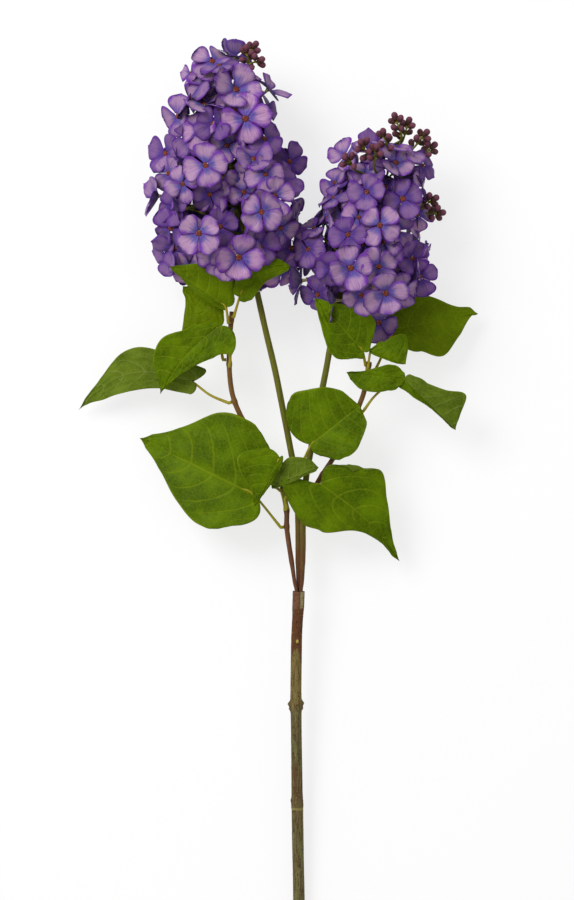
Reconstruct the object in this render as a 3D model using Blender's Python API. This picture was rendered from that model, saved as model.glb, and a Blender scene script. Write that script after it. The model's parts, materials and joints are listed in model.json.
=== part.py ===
# A cut lilac spray that lies on a flat surface: a bark-covered stem with a collar, two bare
# stems that each carry a flower head, two leafy twigs, and the leaves.
import math
import random

import bmesh
import bpy
from mathutils import Matrix, Vector

MM = 0.001  # metres in a millimetre: every size and place below is in millimetres
CURVE_STEPS = 16  # fine steps from one place of a smooth curve to the next
SHARP_ANGLE = math.radians(40)

# Places are measured from the collar's mouth: X to the right across the spray, Y up along
# the stem, Z up from the surface. The finished spray is centred over the origin.
CENTRE_X = -14.5
CENTRE_Y = 64.0
SEAT_GAP = 0.3  # between two pieces that touch

# Bark stem
CUT_END = -286.0
STEM_RADIUS = 4.5
SLOPE = 0.0765  # the stem climbs this much for each millimetre of its length
BORE_RADIUS = 3.9
BORE_DEPTH = 12.0
BARK_SIDES = 12
BARK_LINE = ((0.9, 0), (-0.6, -36), (-1.1, -81), (-0.4, -141), (0.4, -193), (1.1, -231), (1.6, CUT_END))
BARK_GIRTH = ((0, 4.5), (13, 4.5), (18, 4.15), (45, 4.15), (78, 4.15), (83, 4.5), (88, 4.6), (94, 4.15),
              (124, 4.15), (154, 4.25), (159, 4.9), (163, 5.0), (167, 4.4), (205, 4.4), (245, 4.4),
              (286, STEM_RADIUS))
KNOBS = ((-5.2, -86.5, 1.9), (4.1, -85.5, 1.9), (1.9, -36.7, 1.6), (-4.6, -161.0, 1.5))  # x, y, radius
KNOB_WAY = (0.15, 1, 0)
KNOB_LENGTH = 4.0  # in radii of the knob
KNOB_SIDES = 6
FRONT_KNOB = 3.0  # a knob nearer to the middle line than this stands on the front
KNOB_SINK = 0.6

# The thinner stems, as places along their middle: x, y, and height over the slope
FOOT_RADIUS = 1.5
FLOWER_STEM_RADIUS = 2.4
FLOWER_STEM_SIDES = 7
TWIG_RADIUS = 1.95
TWIG_SIDES = 6
STEM_RINGS = 14
SEAT_STEPS = 200  # fineness of the search for a stalk's seat on a stem
STALK_START = 3.0  # a side stalk leaves its stem square to it for this long
STEMS = {
    "flower_stem_left": ((0.5, -11.4, -2.0), (0.9, 0, -2.0), (0.75, 7, -2.3), (0.75, 19, -2.3),
                         (0.75, 36.5, -2.1), (0.6, 52, -2.1), (0.1, 66, -1.3), (-1.0, 84, 0),
                         (-5.4, 108, 0), (-10.9, 136.5, 0), (-16.9, 166.5, 0), (-24, 196.5, 0),
                         (-30.4, 225, 0)),
    "flower_stem_right": ((2.2, -11.4, 1.0), (2.6, 0, 1.0), (3.3, 7, 1.4), (3.6, 19, 2.0), (4.0, 36.5, 2.1),
                          (4.0, 50, 2.1), (5.0, 66, 1.4), (6.3, 84, 0.4), (10, 106.5, 0), (15.4, 136.5, 0),
                          (21.4, 166.5, 0), (26.6, 196.5, 0), (32.6, 225, 0)),
    "leafy_twig_left": ((-1.2, -11.4, 1.0), (-0.8, 0, 1.0), (-2.2, 7, 1.0), (-3.9, 19, 0.5), (-6.6, 36.5, 0),
                        (-8.1, 49, 0), (-8.2, 61, 0), (-10.4, 73, -1), (-14, 88, -2), (-22.5, 103, -2),
                        (-33, 118, -1.5), (-42, 131, 0), (-48.5, 147, 1), (-51, 165, 1), (-51, 187, 2),
                        (-49, 210, 3)),
    "leafy_twig_right": ((15.4, 82.5, 0), (22, 93, 0), (27.4, 101.5, 0), (37, 121.5, 1), (45.4, 138, 2),
                         (50.6, 153, 3), (53.6, 172.5, 4)),
}
TWIG_FORK = 75.0  # where the right twig leaves the right flower stem, along Y

# Flower heads: the middle line of each, its girth by share of its length, its stalk inside
HEADS = {
    "panicle_left": dict(
        line=((-50, 233, 48), (-53, 275, 50), (-55, 317, 52), (-56, 360, 55), (-54, 402, 58)),
        florets=38, spread=19.5, seed=15,
        girth=((0.0, 35), (0.15, 43), (0.38, 48), (0.58, 40), (0.75, 29), (0.9, 20), (1.0, 11)),
        stalk=((-30.4, 225), (-35.6, 252), (-43, 283), (-49, 313), (-51, 340), (-48, 372), (-45, 392)),
        sprigs=(((-36, 400, 62), (0.5, 0.8, 0.2), 5),)),
    "panicle_right": dict(
        line=((49, 211, 47), (47, 245, 48), (50, 280, 50), (60, 310, 52), (72, 334, 54)),
        florets=32, spread=17.5, seed=7,
        girth=((0.0, 40), (0.15, 47), (0.3, 44), (0.5, 36), (0.7, 29), (0.85, 20), (1.0, 11)),
        stalk=((32.6, 225), (39, 256), (48, 290), (62, 320), (71, 334)),
        sprigs=(((80, 343, 58), (0.3, 0.9, 0.1), 6), ((95, 328, 52), (0.7, 0.6, 0.1), 5),
                ((99, 283, 48), (1.0, 0.1, 0.1), 5), ((50, 327, 84), (-0.4, 0.6, 0.7), 6))),
}
STALK_STEPS = 40
STALK_SIDES = 6
STALK_TOP_RADIUS = 1.2
BRANCH_TIERS = (0.05, 0.2, 0.35, 0.5, 0.65, 0.8)
BRANCH_RADII = (1.3, 1.2, 1.0)
BRANCH_SAG = 3.0
LOWEST_BRANCH = 12.0
# x, y, z and radius of the room that the leaves against the heads need
CLEARINGS = ((52, 198, 62, 26), (96, 203, 22, 32), (-78, 232, 64, 31), (-24, 236, 66, 31))

# Florets. The turn between two of them is the golden angle, as on a real panicle.
GOLDEN_TURN = math.radians(137.5)
DEEP_FLORET = 0.74  # every third floret sits deeper, at this share of the head's girth
LEAN = (-22, 95, 1.6)  # degrees at the head's foot, degrees more at its top, and the power between
JITTER = 0.25
CUP = (-0.1, 0.4)
SLOPE_SPREAD = 0.22
PETAL_LENGTHS = (0.9, 1.06)
PETAL_SWING = 0.12
PETALS = 4
PETAL_RIM = ((0.5, -0.44), (0.97, -0.2), (0.97, 0.2), (0.5, 0.44))  # along and across, in spreads
PETAL_HALF = 0.5
PETAL_MIDDLE = 0.55
PETAL_START = 3.0
NOTCH = 2.7
EYE_HEIGHT = 1.3
TUBE_LENGTH = 11.0
TUBE_RADIUS = 1.35
PEDICEL_RADIUS = 0.95
PEDICEL_SINK = 1.2

# Buds
BUD_LENGTH = 6.5
BUD_RADIUS = 2.4
BUD_SHAPE = ((-0.5, 0.3), (-0.2, 0.85), (0.15, 1.0), (0.5, 0.25))  # share of length, of radius
BUD_STALK = 0.7
BUD_REACH = 5.5

# Leaves. base and tip are places. left and right are half-widths, seen from above and looking
# to the tip, at the shares of the length in WIDTH_AT. lobes reach back from the base.
BLADE = 0.8
PETIOLE = ((0, 1.3), (0.6, 1.15), (1, 0.6))  # radius by share of its length
PETIOLE_START = 2.5
PETIOLE_STEPS = 7
PETIOLE_SIDES = 4
RIB_SHARES = (0.02, 0.14)  # how far up the midrib the petiole runs
WIDTH_AT = (0.0, 0.25, 0.5, 0.75, 0.92)
LEAF_ROWS = (0.0, 0.12, 0.28, 0.45, 0.62, 0.79, 0.92)
LEAF_COLUMNS = 4
LEAVES = {
    "leaf_low_left": dict(
        stem="leafy_twig_left", at=49, base=(-31, 72, 38), tip=(-119.5, 115.5, 14),
        left=(26, 38, 30, 14, 5), right=(38, 47.5, 44, 20, 7), lobes=(4, 1), fold=(6, 6), arch=6, wave=1.0),
    "leaf_front_left": dict(
        stem="leafy_twig_left", at=90, base=(-13.5, 101, 58), tip=(-32, 64.5, 50), way=((-13.2, 99.5, 46),),
        left=(4, 5, 4, 2, 1), right=(20, 28, 22, 8, 3), lobes=(2, 3), fold=(-30, 6), arch=2, wave=0.7),
    "leaf_front_turned": dict(
        stem="leafy_twig_left", at=76, base=(-19, 80, 46), tip=(15.8, 93.5, 49),
        left=(9, 11, 15, 12, 7), right=(3, 3, 3, 2, 2), lobes=(2, 1), fold=(4, 8), arch=3, wave=0.7),
    "leaf_middle": dict(
        stem="flower_stem_left", at=93, base=(9.8, 110.5, 47), tip=(46.8, 139.8, 47),
        left=(27, 34.5, 32.5, 27, 17), right=(10, 22, 24, 19, 13), lobes=(6, 2), fold=(5, 5), arch=2.5,
        wave=1.0),
    "leaf_low_right": dict(
        stem="leafy_twig_left", at=63, base=(17, 81, 43), tip=(77, 22.7, 20),
        way=((-8.5, 72, 40), (3, 81, 43)),
        left=(24, 35, 22.5, 8.3, 2.4), right=(29, 28, 11, 3.2, 2), lobes=(7, 19), fold=(6, 6), bow=4.5,
        arch=4, wave=2),
    "leaf_pair_right": dict(
        stem="leafy_twig_right", at=137, base=(80, 159.5, 50), tip=(36.4, 164.6, 50),
        way=((57, 146, 43), (66, 153.5, 46)),
        left=(4, 10, 12.5, 11, 5), right=(5, 9.5, 6, 2, 1), lobes=(0, 0), fold=(3, 3), arch=1.5, wave=0.4,
        second=dict(
            base=(79, 160, 50), tip=(118.6, 121.5, 38),
            left=(6, 10, 16, 24, 8), right=(7, 5, 2, 1, 1), lobes=(0, 0), fold=(6, 3), arch=3, wave=0.7)),
    "leaf_back_right": dict(
        stem="leafy_twig_right", at=162, base=(72, 197, 25), tip=(136.5, 209.6, 18), way=((61, 172, 38),),
        left=(18, 25, 19, 9, 6), right=(10, 20, 26.5, 13, 1), lobes=(5, 5), fold=(5, 5), arch=3, wave=1.0),
    "leaf_top_right": dict(
        stem="leafy_twig_right", at=167, base=(61, 178.5, 52), tip=(80.6, 171, 54),
        left=(12, 18, 22, 15, 8), right=(2, 2, 2, 1, 1), lobes=(5, 1), fold=(6, 4), arch=1, wave=0.4),
    "leaf_top_middle": dict(
        stem="leafy_twig_right", at=170, base=(49, 180, 54), tip=(12, 220, 62),
        left=(8, 19, 15, 8, 3), right=(8, 22, 19, 9, 3), lobes=(4, 3), fold=(6, 6), arch=3, wave=0.8),
    "leaf_top_left": dict(
        stem="leafy_twig_left", at=202, base=(-53, 213, 56), tip=(-95.2, 243, 64),
        left=(6, 9, 8, 4, 2), right=(12, 24, 22, 12, 4), lobes=(2, 3), fold=(-55, 6), arch=2, wave=0.8),
    "leaf_top_second": dict(
        stem="leafy_twig_left", at=207, base=(-43, 221, 60), tip=(-4.9, 243, 64),
        left=(9, 13, 12, 9, 5), right=(6, 11, 10, 8, 4), lobes=(3, 2), fold=(6, 6), bow=9, arch=2, wave=0.6),
    "leaf_mid_left": dict(
        stem="leafy_twig_left", at=174, base=(-60, 199.5, 43), tip=(-86, 229.5, 42),
        left=(20, 24, 16, 6, 3), right=(8, 12, 12, 8, 3), lobes=(4, 2), fold=(4, 4), arch=1, wave=0.6),
    "leaf_front_mid_left": dict(
        stem="leafy_twig_left", at=169, base=(-59, 199, 53), tip=(-103, 148.5, 40), way=((-51, 178, 50),),
        left=(22, 16, 10, 4, 1), right=(5, 14, 22, 18, 5), lobes=(5, 2), fold=(6, 6), bow=-4, arch=3,
        wave=1.0),
    "leaf_far_left": dict(
        stem="leafy_twig_left", at=143, base=(-78.4, 158, 33), tip=(-166, 137, 10), way=((-66, 148, 35),),
        left=(9, 11.5, 13, 9, 2), right=(14, 20, 17, 7, 3), lobes=(2, 12), fold=(4, 4), bow=-17, arch=4,
        wave=1.5),
}

BARK = ("bark", (0.30, 0.24, 0.12), 0.75)
GREEN_STEM = ("green_stem", (0.24, 0.20, 0.05), 0.5)
TWIG = ("twig", (0.25, 0.13, 0.05), 0.6)
PETAL = ("petal", (0.36, 0.17, 0.55), 0.55)
LEAF = ("leaf", (0.12, 0.25, 0.01), 0.45)


def clear_scene():
    for thing in list(bpy.data.objects):
        bpy.data.objects.remove(thing, do_unlink=True)


def finish_of(kind):
    name, colour, roughness = kind
    material = bpy.data.materials.get(name)
    if material is None:
        material = bpy.data.materials.new(name)
        material.use_nodes = True
        shader = material.node_tree.nodes["Principled BSDF"]
        shader.inputs["Base Color"].default_value = (*colour, 1.0)
        shader.inputs["Roughness"].default_value = roughness
        shader.inputs["Metallic"].default_value = 0.0
    return material


def slope_height(y):
    # Height of the bark stem's middle line, which starts with the cut end on the surface.
    return STEM_RADIUS + SLOPE * (y - CUT_END)


def between(knots, at):
    # A smooth value through (place, value) knots.
    last = len(knots) - 2
    piece = max((number for number in range(last + 1) if knots[number][0] <= at), default=0)
    (start, low), (end, high) = knots[piece], knots[piece + 1]
    before, after = knots[max(piece - 1, 0)][1], knots[min(piece + 2, last + 1)][1]
    share = min(max((at - start) / (end - start), 0.0), 1.0)
    return (2 * low + (high - before) * share + (2 * before - 5 * low + 4 * high - after) * share ** 2
            + (3 * low - before - 3 * high + after) * share ** 3) / 2


def smooth_path(places, steps):
    # An even row of points on a smooth curve through the places.
    places = [Vector(place) for place in places]
    ends = [2 * places[0] - places[1], *places, 2 * places[-1] - places[-2]]
    fine = []
    for before, start, end, after in zip(ends, ends[1:], ends[2:], ends[3:]):
        for step in range(CURVE_STEPS):
            share = step / CURVE_STEPS
            fine.append((2 * start + (end - before) * share
                         + (2 * before - 5 * start + 4 * end - after) * share ** 2
                         + (3 * start - before - 3 * end + after) * share ** 3) / 2)
    fine.append(places[-1])
    travelled = [0.0]
    for start, end in zip(fine, fine[1:]):
        travelled.append(travelled[-1] + (end - start).length)
    row = []
    piece = 0
    for step in range(steps + 1):
        target = travelled[-1] * step / steps
        while piece < len(fine) - 2 and travelled[piece + 1] < target:
            piece += 1
        share = (target - travelled[piece]) / (travelled[piece + 1] - travelled[piece])
        row.append(fine[piece].lerp(fine[piece + 1], share))
    return row


def frames_along(path):
    # At each point of the path, two directions square to it that turn as little as they can.
    ahead = (path[1] - path[0]).normalized()
    across = Vector((0, 0, 1)) if abs(ahead.z) < 0.9 else Vector((1, 0, 0))
    frames = []
    for step, point in enumerate(path):
        ahead = (path[min(step + 1, len(path) - 1)] - path[max(step - 1, 0)]).normalized()
        across = (across - ahead * across.dot(ahead)).normalized()
        frames.append((point, across, ahead.cross(across)))
    return frames


def lofted(frames, radii, sides):
    # A closed body with one ring of points for each frame and a flat cap at each end.
    points = []
    for (middle, across, side), radius in zip(frames, radii):
        for corner in range(sides):
            turn = 2 * math.pi * corner / sides
            points.append(middle + (across * math.cos(turn) + side * math.sin(turn)) * radius)
    faces = [tuple(reversed(range(sides)))]
    for ring in range(len(frames) - 1):
        for corner in range(sides):
            following = (corner + 1) % sides
            start, end = ring * sides, (ring + 1) * sides
            faces.append((start + corner, start + following, end + following, end + corner))
    last = (len(frames) - 1) * sides
    faces.append(tuple(range(last, last + sides)))
    return points, faces


def solid(name, shape, kind):
    points, faces = shape
    centre = Vector((CENTRE_X, CENTRE_Y, 0))
    mesh = bpy.data.meshes.new(name)
    mesh.from_pydata([(point - centre) * MM for point in points], [], faces)
    mesh.materials.append(finish_of(kind))
    mesh.shade_smooth()
    mesh.set_sharp_from_angle(angle=SHARP_ANGLE)
    piece = bpy.data.objects.new(name, mesh)
    bpy.context.scene.collection.objects.link(piece)
    return piece


def drop_scraps(mesh):
    # Keeps the largest of the bodies that a union left, and drops loose slivers.
    work = bmesh.new()
    work.from_mesh(mesh)
    unseen = set(work.verts)
    bodies = []
    while unseen:
        reached = [unseen.pop()]
        for vertex in reached:
            for edge in vertex.link_edges:
                other = edge.other_vert(vertex)
                if other in unseen:
                    unseen.remove(other)
                    reached.append(other)
        bodies.append(reached)
    bodies.sort(key=len)
    for scrap in bodies[:-1]:
        bmesh.ops.delete(work, geom=scrap, context="VERTS")
    work.to_mesh(mesh)
    work.free()


def fused(name, shapes, kind, solver="MANIFOLD"):
    # One Boolean union joins all the shapes into one body. Thin blades and crossing petals
    # take the MANIFOLD solver, because the exact one leaves edges there that only touch.
    body = solid(name, shapes[0], kind)
    others = bpy.data.collections.new(name + "_pieces")
    bpy.context.scene.collection.children.link(others)
    for number, shape in enumerate(shapes[1:]):
        piece = solid(f"{name}_{number}", shape, kind)
        bpy.context.scene.collection.objects.unlink(piece)
        others.objects.link(piece)
    join = body.modifiers.new("Join", "BOOLEAN")
    join.operation = "UNION"
    join.operand_type = "COLLECTION"
    join.collection = others
    join.solver = solver
    graph = bpy.context.evaluated_depsgraph_get()
    joined = bpy.data.meshes.new_from_object(body.evaluated_get(graph))
    body.modifiers.remove(join)
    body.data = joined
    joined.name = name
    drop_scraps(joined)
    for piece in list(others.objects):
        bpy.data.objects.remove(piece, do_unlink=True)
    bpy.data.collections.remove(others)
    return body


def rounded(middle, length_way, length, radius, sides=4):
    # A small closed bud or knob: pointed at both ends and widest past its middle.
    way = Vector(length_way).normalized()
    path = [Vector(middle) + way * length * share for share, _ in BUD_SHAPE]
    return lofted(frames_along(path), [radius * share for _, share in BUD_SHAPE], sides)


def bark_stem():
    line = [(-y, x) for x, y in BARK_LINE]
    downs = [down for down, _ in reversed(BARK_GIRTH)]
    path = [Vector((between(line, down), -down, slope_height(-down))) for down in downs]
    frames = frames_along(path)
    radii = [radius for _, radius in reversed(BARK_GIRTH)]
    mouth, across, side = frames[-1]
    inward = across.cross(side).normalized()
    floor = mouth - inward * BORE_DEPTH
    frames += [(mouth, across, side), (floor, across, side)]
    radii += [BORE_RADIUS, BORE_RADIUS]
    shapes = [lofted(frames, radii, BARK_SIDES)]
    for x, y, radius in KNOBS:
        lift = STEM_RADIUS - KNOB_SINK if abs(x) < FRONT_KNOB else 0.0
        middle = (x, y, slope_height(y) + lift)
        shapes.append(rounded(middle, KNOB_WAY, KNOB_LENGTH * radius, radius, KNOB_SIDES))
    fused("bark_stem", shapes, BARK, "EXACT")


def stem_places(name):
    return [(x, y, slope_height(y) + lift) for x, y, lift in STEMS[name]]


def stem_radius(name, y):
    # The stems that stand in the collar are thin in its bore and reach their full radius above it.
    full = TWIG_RADIUS if name.startswith("leafy") else FLOWER_STEM_RADIUS
    if name == "leafy_twig_right":
        return full
    foot = ((-BORE_DEPTH, FOOT_RADIUS), (1, FOOT_RADIUS), (10, 0.75 * full + 0.1))
    return between((*foot, (24, full), (230, full)), y)


def seat_on(name, y, toward):
    # Where a stalk that heads for a place stands on a stem's side, and its way out from there.
    path = smooth_path(stem_places(name), SEAT_STEPS)
    step = min(range(1, len(path) - 1), key=lambda number: abs(path[number].y - y))
    along = (path[step + 1] - path[step - 1]).normalized()
    out = Vector(toward) - path[step]
    out = (out - along * out.dot(along)).normalized()
    return path[step] + out * (stem_radius(name, y) + SEAT_GAP), out


def thin_stem(name):
    places = stem_places(name)
    if name == "leafy_twig_right":
        seat, out = seat_on("flower_stem_right", TWIG_FORK, places[0])
        path = [seat, *smooth_path([seat + out * STALK_START, *places], STEM_RINGS)]
    else:
        path = [Vector(places[0]), *smooth_path(places[1:], STEM_RINGS)]
    radii = [stem_radius(name, point.y) for point in path]
    sides, kind = (TWIG_SIDES, TWIG) if name.startswith("leafy") else (FLOWER_STEM_SIDES, GREEN_STEM)
    solid(name, lofted(frames_along(path), radii, sides), kind)


def head_line(head, share):
    line = head["line"]
    shares = [number / (len(line) - 1) for number in range(len(line))]
    return Vector([between([*zip(shares, values)], share) for values in zip(*line)])


def head_girth(head, share):
    return between(head["girth"], share)


def head_frame(head):
    along = (Vector(head["line"][-1]) - Vector(head["line"][0])).normalized()
    across = (Vector((1, 0, 0)) - along * along.x).normalized()
    return along, across, along.cross(across)


def branches(head):
    # Side branches in crossed pairs along the head's stalk.
    along, across, side = head_frame(head)
    stalk = smooth_path([(x, y, slope_height(y)) for x, y in head["stalk"]], STALK_STEPS)
    found = []
    for tier, share in enumerate(BRANCH_TIERS):
        for arm in range(4):
            start = stalk[int(STALK_STEPS * share) + arm]
            turn = math.pi / 2 * arm + math.pi / 4 * tier
            out = across * math.cos(turn) + side * math.sin(turn)
            end = head_line(head, min(share + 0.1, 1.0)) + out * 0.5 * head_girth(head, share)
            end.z = max(end.z, LOWEST_BRANCH)
            middle = start.lerp(end, 0.5) - along * BRANCH_SAG
            found.append([start, middle, end])
    return stalk, found


def even_shares(head, count):
    # Shares of the head's length that give each floret the same area of its surface.
    steps = 200
    reach = [head_girth(head, (step + 0.5) / steps) + 6 for step in range(steps)]
    whole = sum(reach)
    shares, passed, step = [], 0.0, 0
    for number in range(count):
        target = whole * (number + 0.5) / count
        while passed + reach[step] < target:
            passed += reach[step]
            step += 1
        shares.append((step + 0.5) / steps)
    return shares


def pushed_clear(place):
    # Florets make room for the leaves that lie against the head, and move up the head for it.
    for x, y, z, radius in CLEARINGS:
        away = place - Vector((x, y, z))
        if away.length < radius:
            away.y = abs(away.y)
            place = Vector((x, y, z)) + away.normalized() * radius
    return place


def floret_plan(head):
    # Where each floret sits, which way it faces, and how its petals are held.
    along, across, side = head_frame(head)
    stalk, arms = branches(head)
    joints = stalk[4::4] + [arm[1] for arm in arms] + [arm[2] for arm in arms]
    draw = random.Random(head["seed"])
    plan = []
    for number, share in enumerate(even_shares(head, head["florets"])):
        turn = GOLDEN_TURN * number + draw.uniform(-JITTER, JITTER)
        out = across * math.cos(turn) + side * math.sin(turn)
        depth = DEEP_FLORET if number % 3 == 2 else 1.0
        place = head_line(head, share) + out * head_girth(head, share) * depth
        lean = math.radians(LEAN[0] + LEAN[1] * share ** LEAN[2])
        facing = out * math.cos(lean) + along * math.sin(lean)
        facing += Vector([draw.uniform(-JITTER, JITTER) for _ in range(3)])
        facing.normalize()
        petals = []
        cup = draw.uniform(*CUP)
        for _ in range(PETALS):
            petals.append(dict(slope=cup + draw.uniform(-SLOPE_SPREAD, SLOPE_SPREAD),
                               twist=draw.uniform(-JITTER, JITTER), length=draw.uniform(*PETAL_LENGTHS),
                               swing=draw.uniform(-PETAL_SWING, PETAL_SWING)))
        spin = draw.uniform(0, math.pi / 2)
        place = pushed_clear(place)
        tube_end = place - facing * (TUBE_LENGTH + 1)
        joint = min(joints, key=lambda spot: (spot - tube_end).length + 0.4 * (spot - place).dot(along))
        plan.append(dict(place=place, facing=facing, spin=spin, petals=petals, joint=joint,
                         spread=head["spread"]))
    return plan


def petal_corners(spread, petal):
    # Corners of a petal's rim, from one shoulder round its tip to the other: along, across.
    length = spread * petal["length"]
    return [(along * length, over * spread) for along, over in PETAL_RIM]


def floret(one):
    # Four petals round an eye, with the tube behind them and the stalk down to its branch.
    # The rim's corners are shared by both faces, and both are split into the same triangles.
    facing = one["facing"]
    across = facing.orthogonal().normalized()
    across = Matrix.Rotation(one["spin"], 3, facing) @ across
    side = facing.cross(across)
    spread = one["spread"]

    def placed(turn, along, over, height):
        flat = across * math.cos(turn) + side * math.sin(turn)
        beside = side * math.cos(turn) - across * math.sin(turn)
        return flat * along + beside * over + facing * height

    quarter = math.pi / 2
    notch = [placed(quarter * arm - quarter / 2, NOTCH, 0, 0) for arm in range(PETALS)]
    points = [facing * EYE_HEIGHT, *notch]
    faces = []
    for arm, petal in enumerate(one["petals"]):
        turn = quarter * arm + petal["swing"]
        following = (arm + 1) % PETALS

        def height(along, over):
            return petal["slope"] * (along - PETAL_START) + petal["twist"] * over

        corners = len(points)
        for along, over in petal_corners(spread, petal):
            points.append(placed(turn, along, over, height(along, over)))
        upper = len(points)
        middle = PETAL_MIDDLE * spread
        hollow = height(middle, 0) - 0.5 * petal["slope"]
        points.append(placed(turn, middle, 0, hollow + PETAL_HALF))
        lower = upper + 1
        points.append(placed(turn, middle, 0, hollow - PETAL_HALF))
        rim = [1 + arm, *range(corners, corners + 4), 1 + following]
        for start, end in zip(rim, rim[1:]):
            faces.append((upper, start, end))
            faces.append((lower, end, start))
        faces.append((0, 1 + arm, upper))
        faces.append((0, upper, 1 + following))
        faces.append((1 + arm, 1 + following, lower))

    lowest = min((one["place"] + point).z for point in points)
    place = one["place"] + Vector((0, 0, max(0.0, -lowest)))
    points = [place + point for point in points]

    tube_end = place - facing * TUBE_LENGTH
    down = (one["joint"] - tube_end).normalized()
    foot = one["joint"] + down * PEDICEL_SINK
    bend = (down - facing).normalized()
    for middle, way, radius in ((tube_end, bend, TUBE_RADIUS), (foot, down, PEDICEL_RADIUS)):
        for arm in range(PETALS):
            ray = placed(quarter * arm - quarter / 2, 1, 0, 0)
            ray = (ray - way * ray.dot(way)).normalized()
            points.append(middle + ray * radius)
    last = len(points) - PETALS
    for upper_ring, lower_ring in ((1, last - PETALS), (last - PETALS, last)):
        for arm in range(PETALS):
            following = (arm + 1) % PETALS
            faces.append((upper_ring + following, upper_ring + arm,
                          lower_ring + arm, lower_ring + following))
    faces.append(tuple(last + arm for arm in reversed(range(PETALS))))
    return points, faces


def bud_sprig(middle, way, count, joints):
    # A short stalk with buds in crossed pairs and one at its end.
    middle, way = Vector(middle), Vector(way).normalized()
    joint = min(joints, key=lambda spot: (spot - middle).length)
    across = way.orthogonal().normalized()
    shapes = [lofted(frames_along([joint, middle - way * 8, middle + way * 6]), (1.1, 1.0, 0.8), 4)]
    for number in range(count):
        if number == 0:
            shapes.append(rounded(middle + way * 9, way, BUD_LENGTH, BUD_RADIUS))
            continue
        pair, hand = divmod(number - 1, 2)
        out = Matrix.Rotation(math.pi / 2 * pair + math.pi * hand, 3, way) @ across
        start = middle + way * (3 - 5 * pair)
        toward = (out + 0.7 * way).normalized()
        shapes.append(lofted(frames_along([start, start + toward * 4]), (BUD_STALK, BUD_STALK), 3))
        shapes.append(rounded(start + toward * BUD_REACH, toward, BUD_LENGTH, BUD_RADIUS))
    return shapes


def panicle(name):
    head = HEADS[name]
    stalk, arms = branches(head)
    start = stalk[0] + (stalk[1] - stalk[0]).normalized() * SEAT_GAP
    path = [start, *stalk[4::4]]
    taper = ((0, FLOWER_STEM_RADIUS), (1, STALK_TOP_RADIUS))
    radii = [between(taper, step / (len(path) - 1)) for step in range(len(path))]
    shapes = [lofted(frames_along(path), radii, STALK_SIDES)]
    for arm in arms:
        shapes.append(lofted(frames_along(arm), BRANCH_RADII, 4))
    joints = [arm[2] for arm in arms] + stalk[20::4]
    for one in floret_plan(head):
        shapes.append(floret(one))
    for middle, way, count in head["sprigs"]:
        shapes += bud_sprig(middle, way, count, joints)
    fused(name, shapes, PETAL)


def leaf_point(leaf, u, v):
    # A point half-way through the blade: u from base to tip, v from -1 at the right rim to 1
    # at the left one.
    base, tip = Vector(leaf["base"]), Vector(leaf["tip"])
    length = (tip - base).length
    along = (tip - base) / length
    up = (Vector((0, 0, 1)) - along * along.z).normalized()
    left = up.cross(along)
    hand = 1 if v >= 0 else -1
    widths = leaf["left"] if hand > 0 else leaf["right"]
    reach = max(between([*zip(WIDTH_AT, widths), (1.0, 0.0)], u), 0.0) * abs(v)
    fold = math.radians(leaf["fold"][0 if hand > 0 else 1])
    lobe = leaf["lobes"][0 if hand > 0 else 1] * math.sin(math.pi * abs(v) ** 0.8) * (1 - u) ** 4
    wave = leaf["wave"] * math.sin(9 * u + 1.5 * hand) * v * v * (1 - u ** 4)
    return (base + along * (length * u - lobe) + left * (leaf.get("bow", 0) * math.sin(math.pi * u))
            + up * (leaf["arch"] * math.sin(math.pi * u) + wave)
            + left * (hand * reach * math.cos(fold)) + up * reach * math.sin(fold))


def blade(leaf):
    # Both faces are split into the same triangles, and a narrow wall joins them.
    rows, columns = len(LEAF_ROWS), LEAF_COLUMNS
    grid = []
    for u in LEAF_ROWS:
        for column in range(columns + 1):
            grid.append((u, 2 * column / columns - 1))
    grid.append((1.0, 0.0))
    upper, lower = [], []
    small = 0.02
    for u, v in grid:
        point = leaf_point(leaf, u, v)
        low, high = max(u - small, 0.0), min(u, 0.96) + small
        ahead = leaf_point(leaf, high, v) - leaf_point(leaf, low, v)
        beside = leaf_point(leaf, min(u, 0.9), v + small) - leaf_point(leaf, min(u, 0.9), v - small)
        normal = ahead.cross(beside).normalized()
        upper.append(point + normal * BLADE / 2)
        lower.append(point - normal * BLADE / 2)
    count = len(grid)
    tip = count - 1
    triangles = []
    for row in range(rows - 1):
        for column in range(columns):
            near = row * (columns + 1) + column
            far = near + columns + 1
            if column < columns / 2:
                triangles += [(near, far, near + 1), (near + 1, far, far + 1)]
            else:
                triangles += [(near, far, far + 1), (near, far + 1, near + 1)]
    last = (rows - 1) * (columns + 1)
    triangles += [(last + column, tip, last + column + 1) for column in range(columns)]
    rim = list(range(columns + 1))
    rim += [row * (columns + 1) + columns for row in range(1, rows)]
    rim += [tip]
    rim += [row * (columns + 1) for row in reversed(range(1, rows))]
    faces = list(triangles)
    faces += [(c + count, b + count, a + count) for a, b, c in triangles]
    for start, end in zip(rim, rim[1:] + rim[:1]):
        faces += [(start, end, end + count), (start, end + count, start + count)]
    return upper + lower, faces


def petiole(leaf):
    first = Vector(leaf.get("way", (leaf["base"],))[0])
    seat, out = seat_on(leaf["stem"], leaf["at"], first)
    rib = [leaf_point(leaf, share, 0.0) for share in RIB_SHARES]
    places = [seat + out * PETIOLE_START, *leaf.get("way", ()), *rib]
    path = [seat, *smooth_path(places, PETIOLE_STEPS - 1)]
    radii = [between(PETIOLE, step / PETIOLE_STEPS) for step in range(PETIOLE_STEPS + 1)]
    return lofted(frames_along(path), radii, PETIOLE_SIDES)


def leaf_piece(name):
    leaf = LEAVES[name]
    shapes = [blade(leaf), petiole(leaf)]
    if "second" in leaf:
        shapes.append(blade(leaf["second"]))
    fused(name, shapes, LEAF)


def main():
    clear_scene()
    bark_stem()
    for name in STEMS:
        thin_stem(name)
    for name in HEADS:
        panicle(name)
    for name in LEAVES:
        leaf_piece(name)


main()
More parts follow.
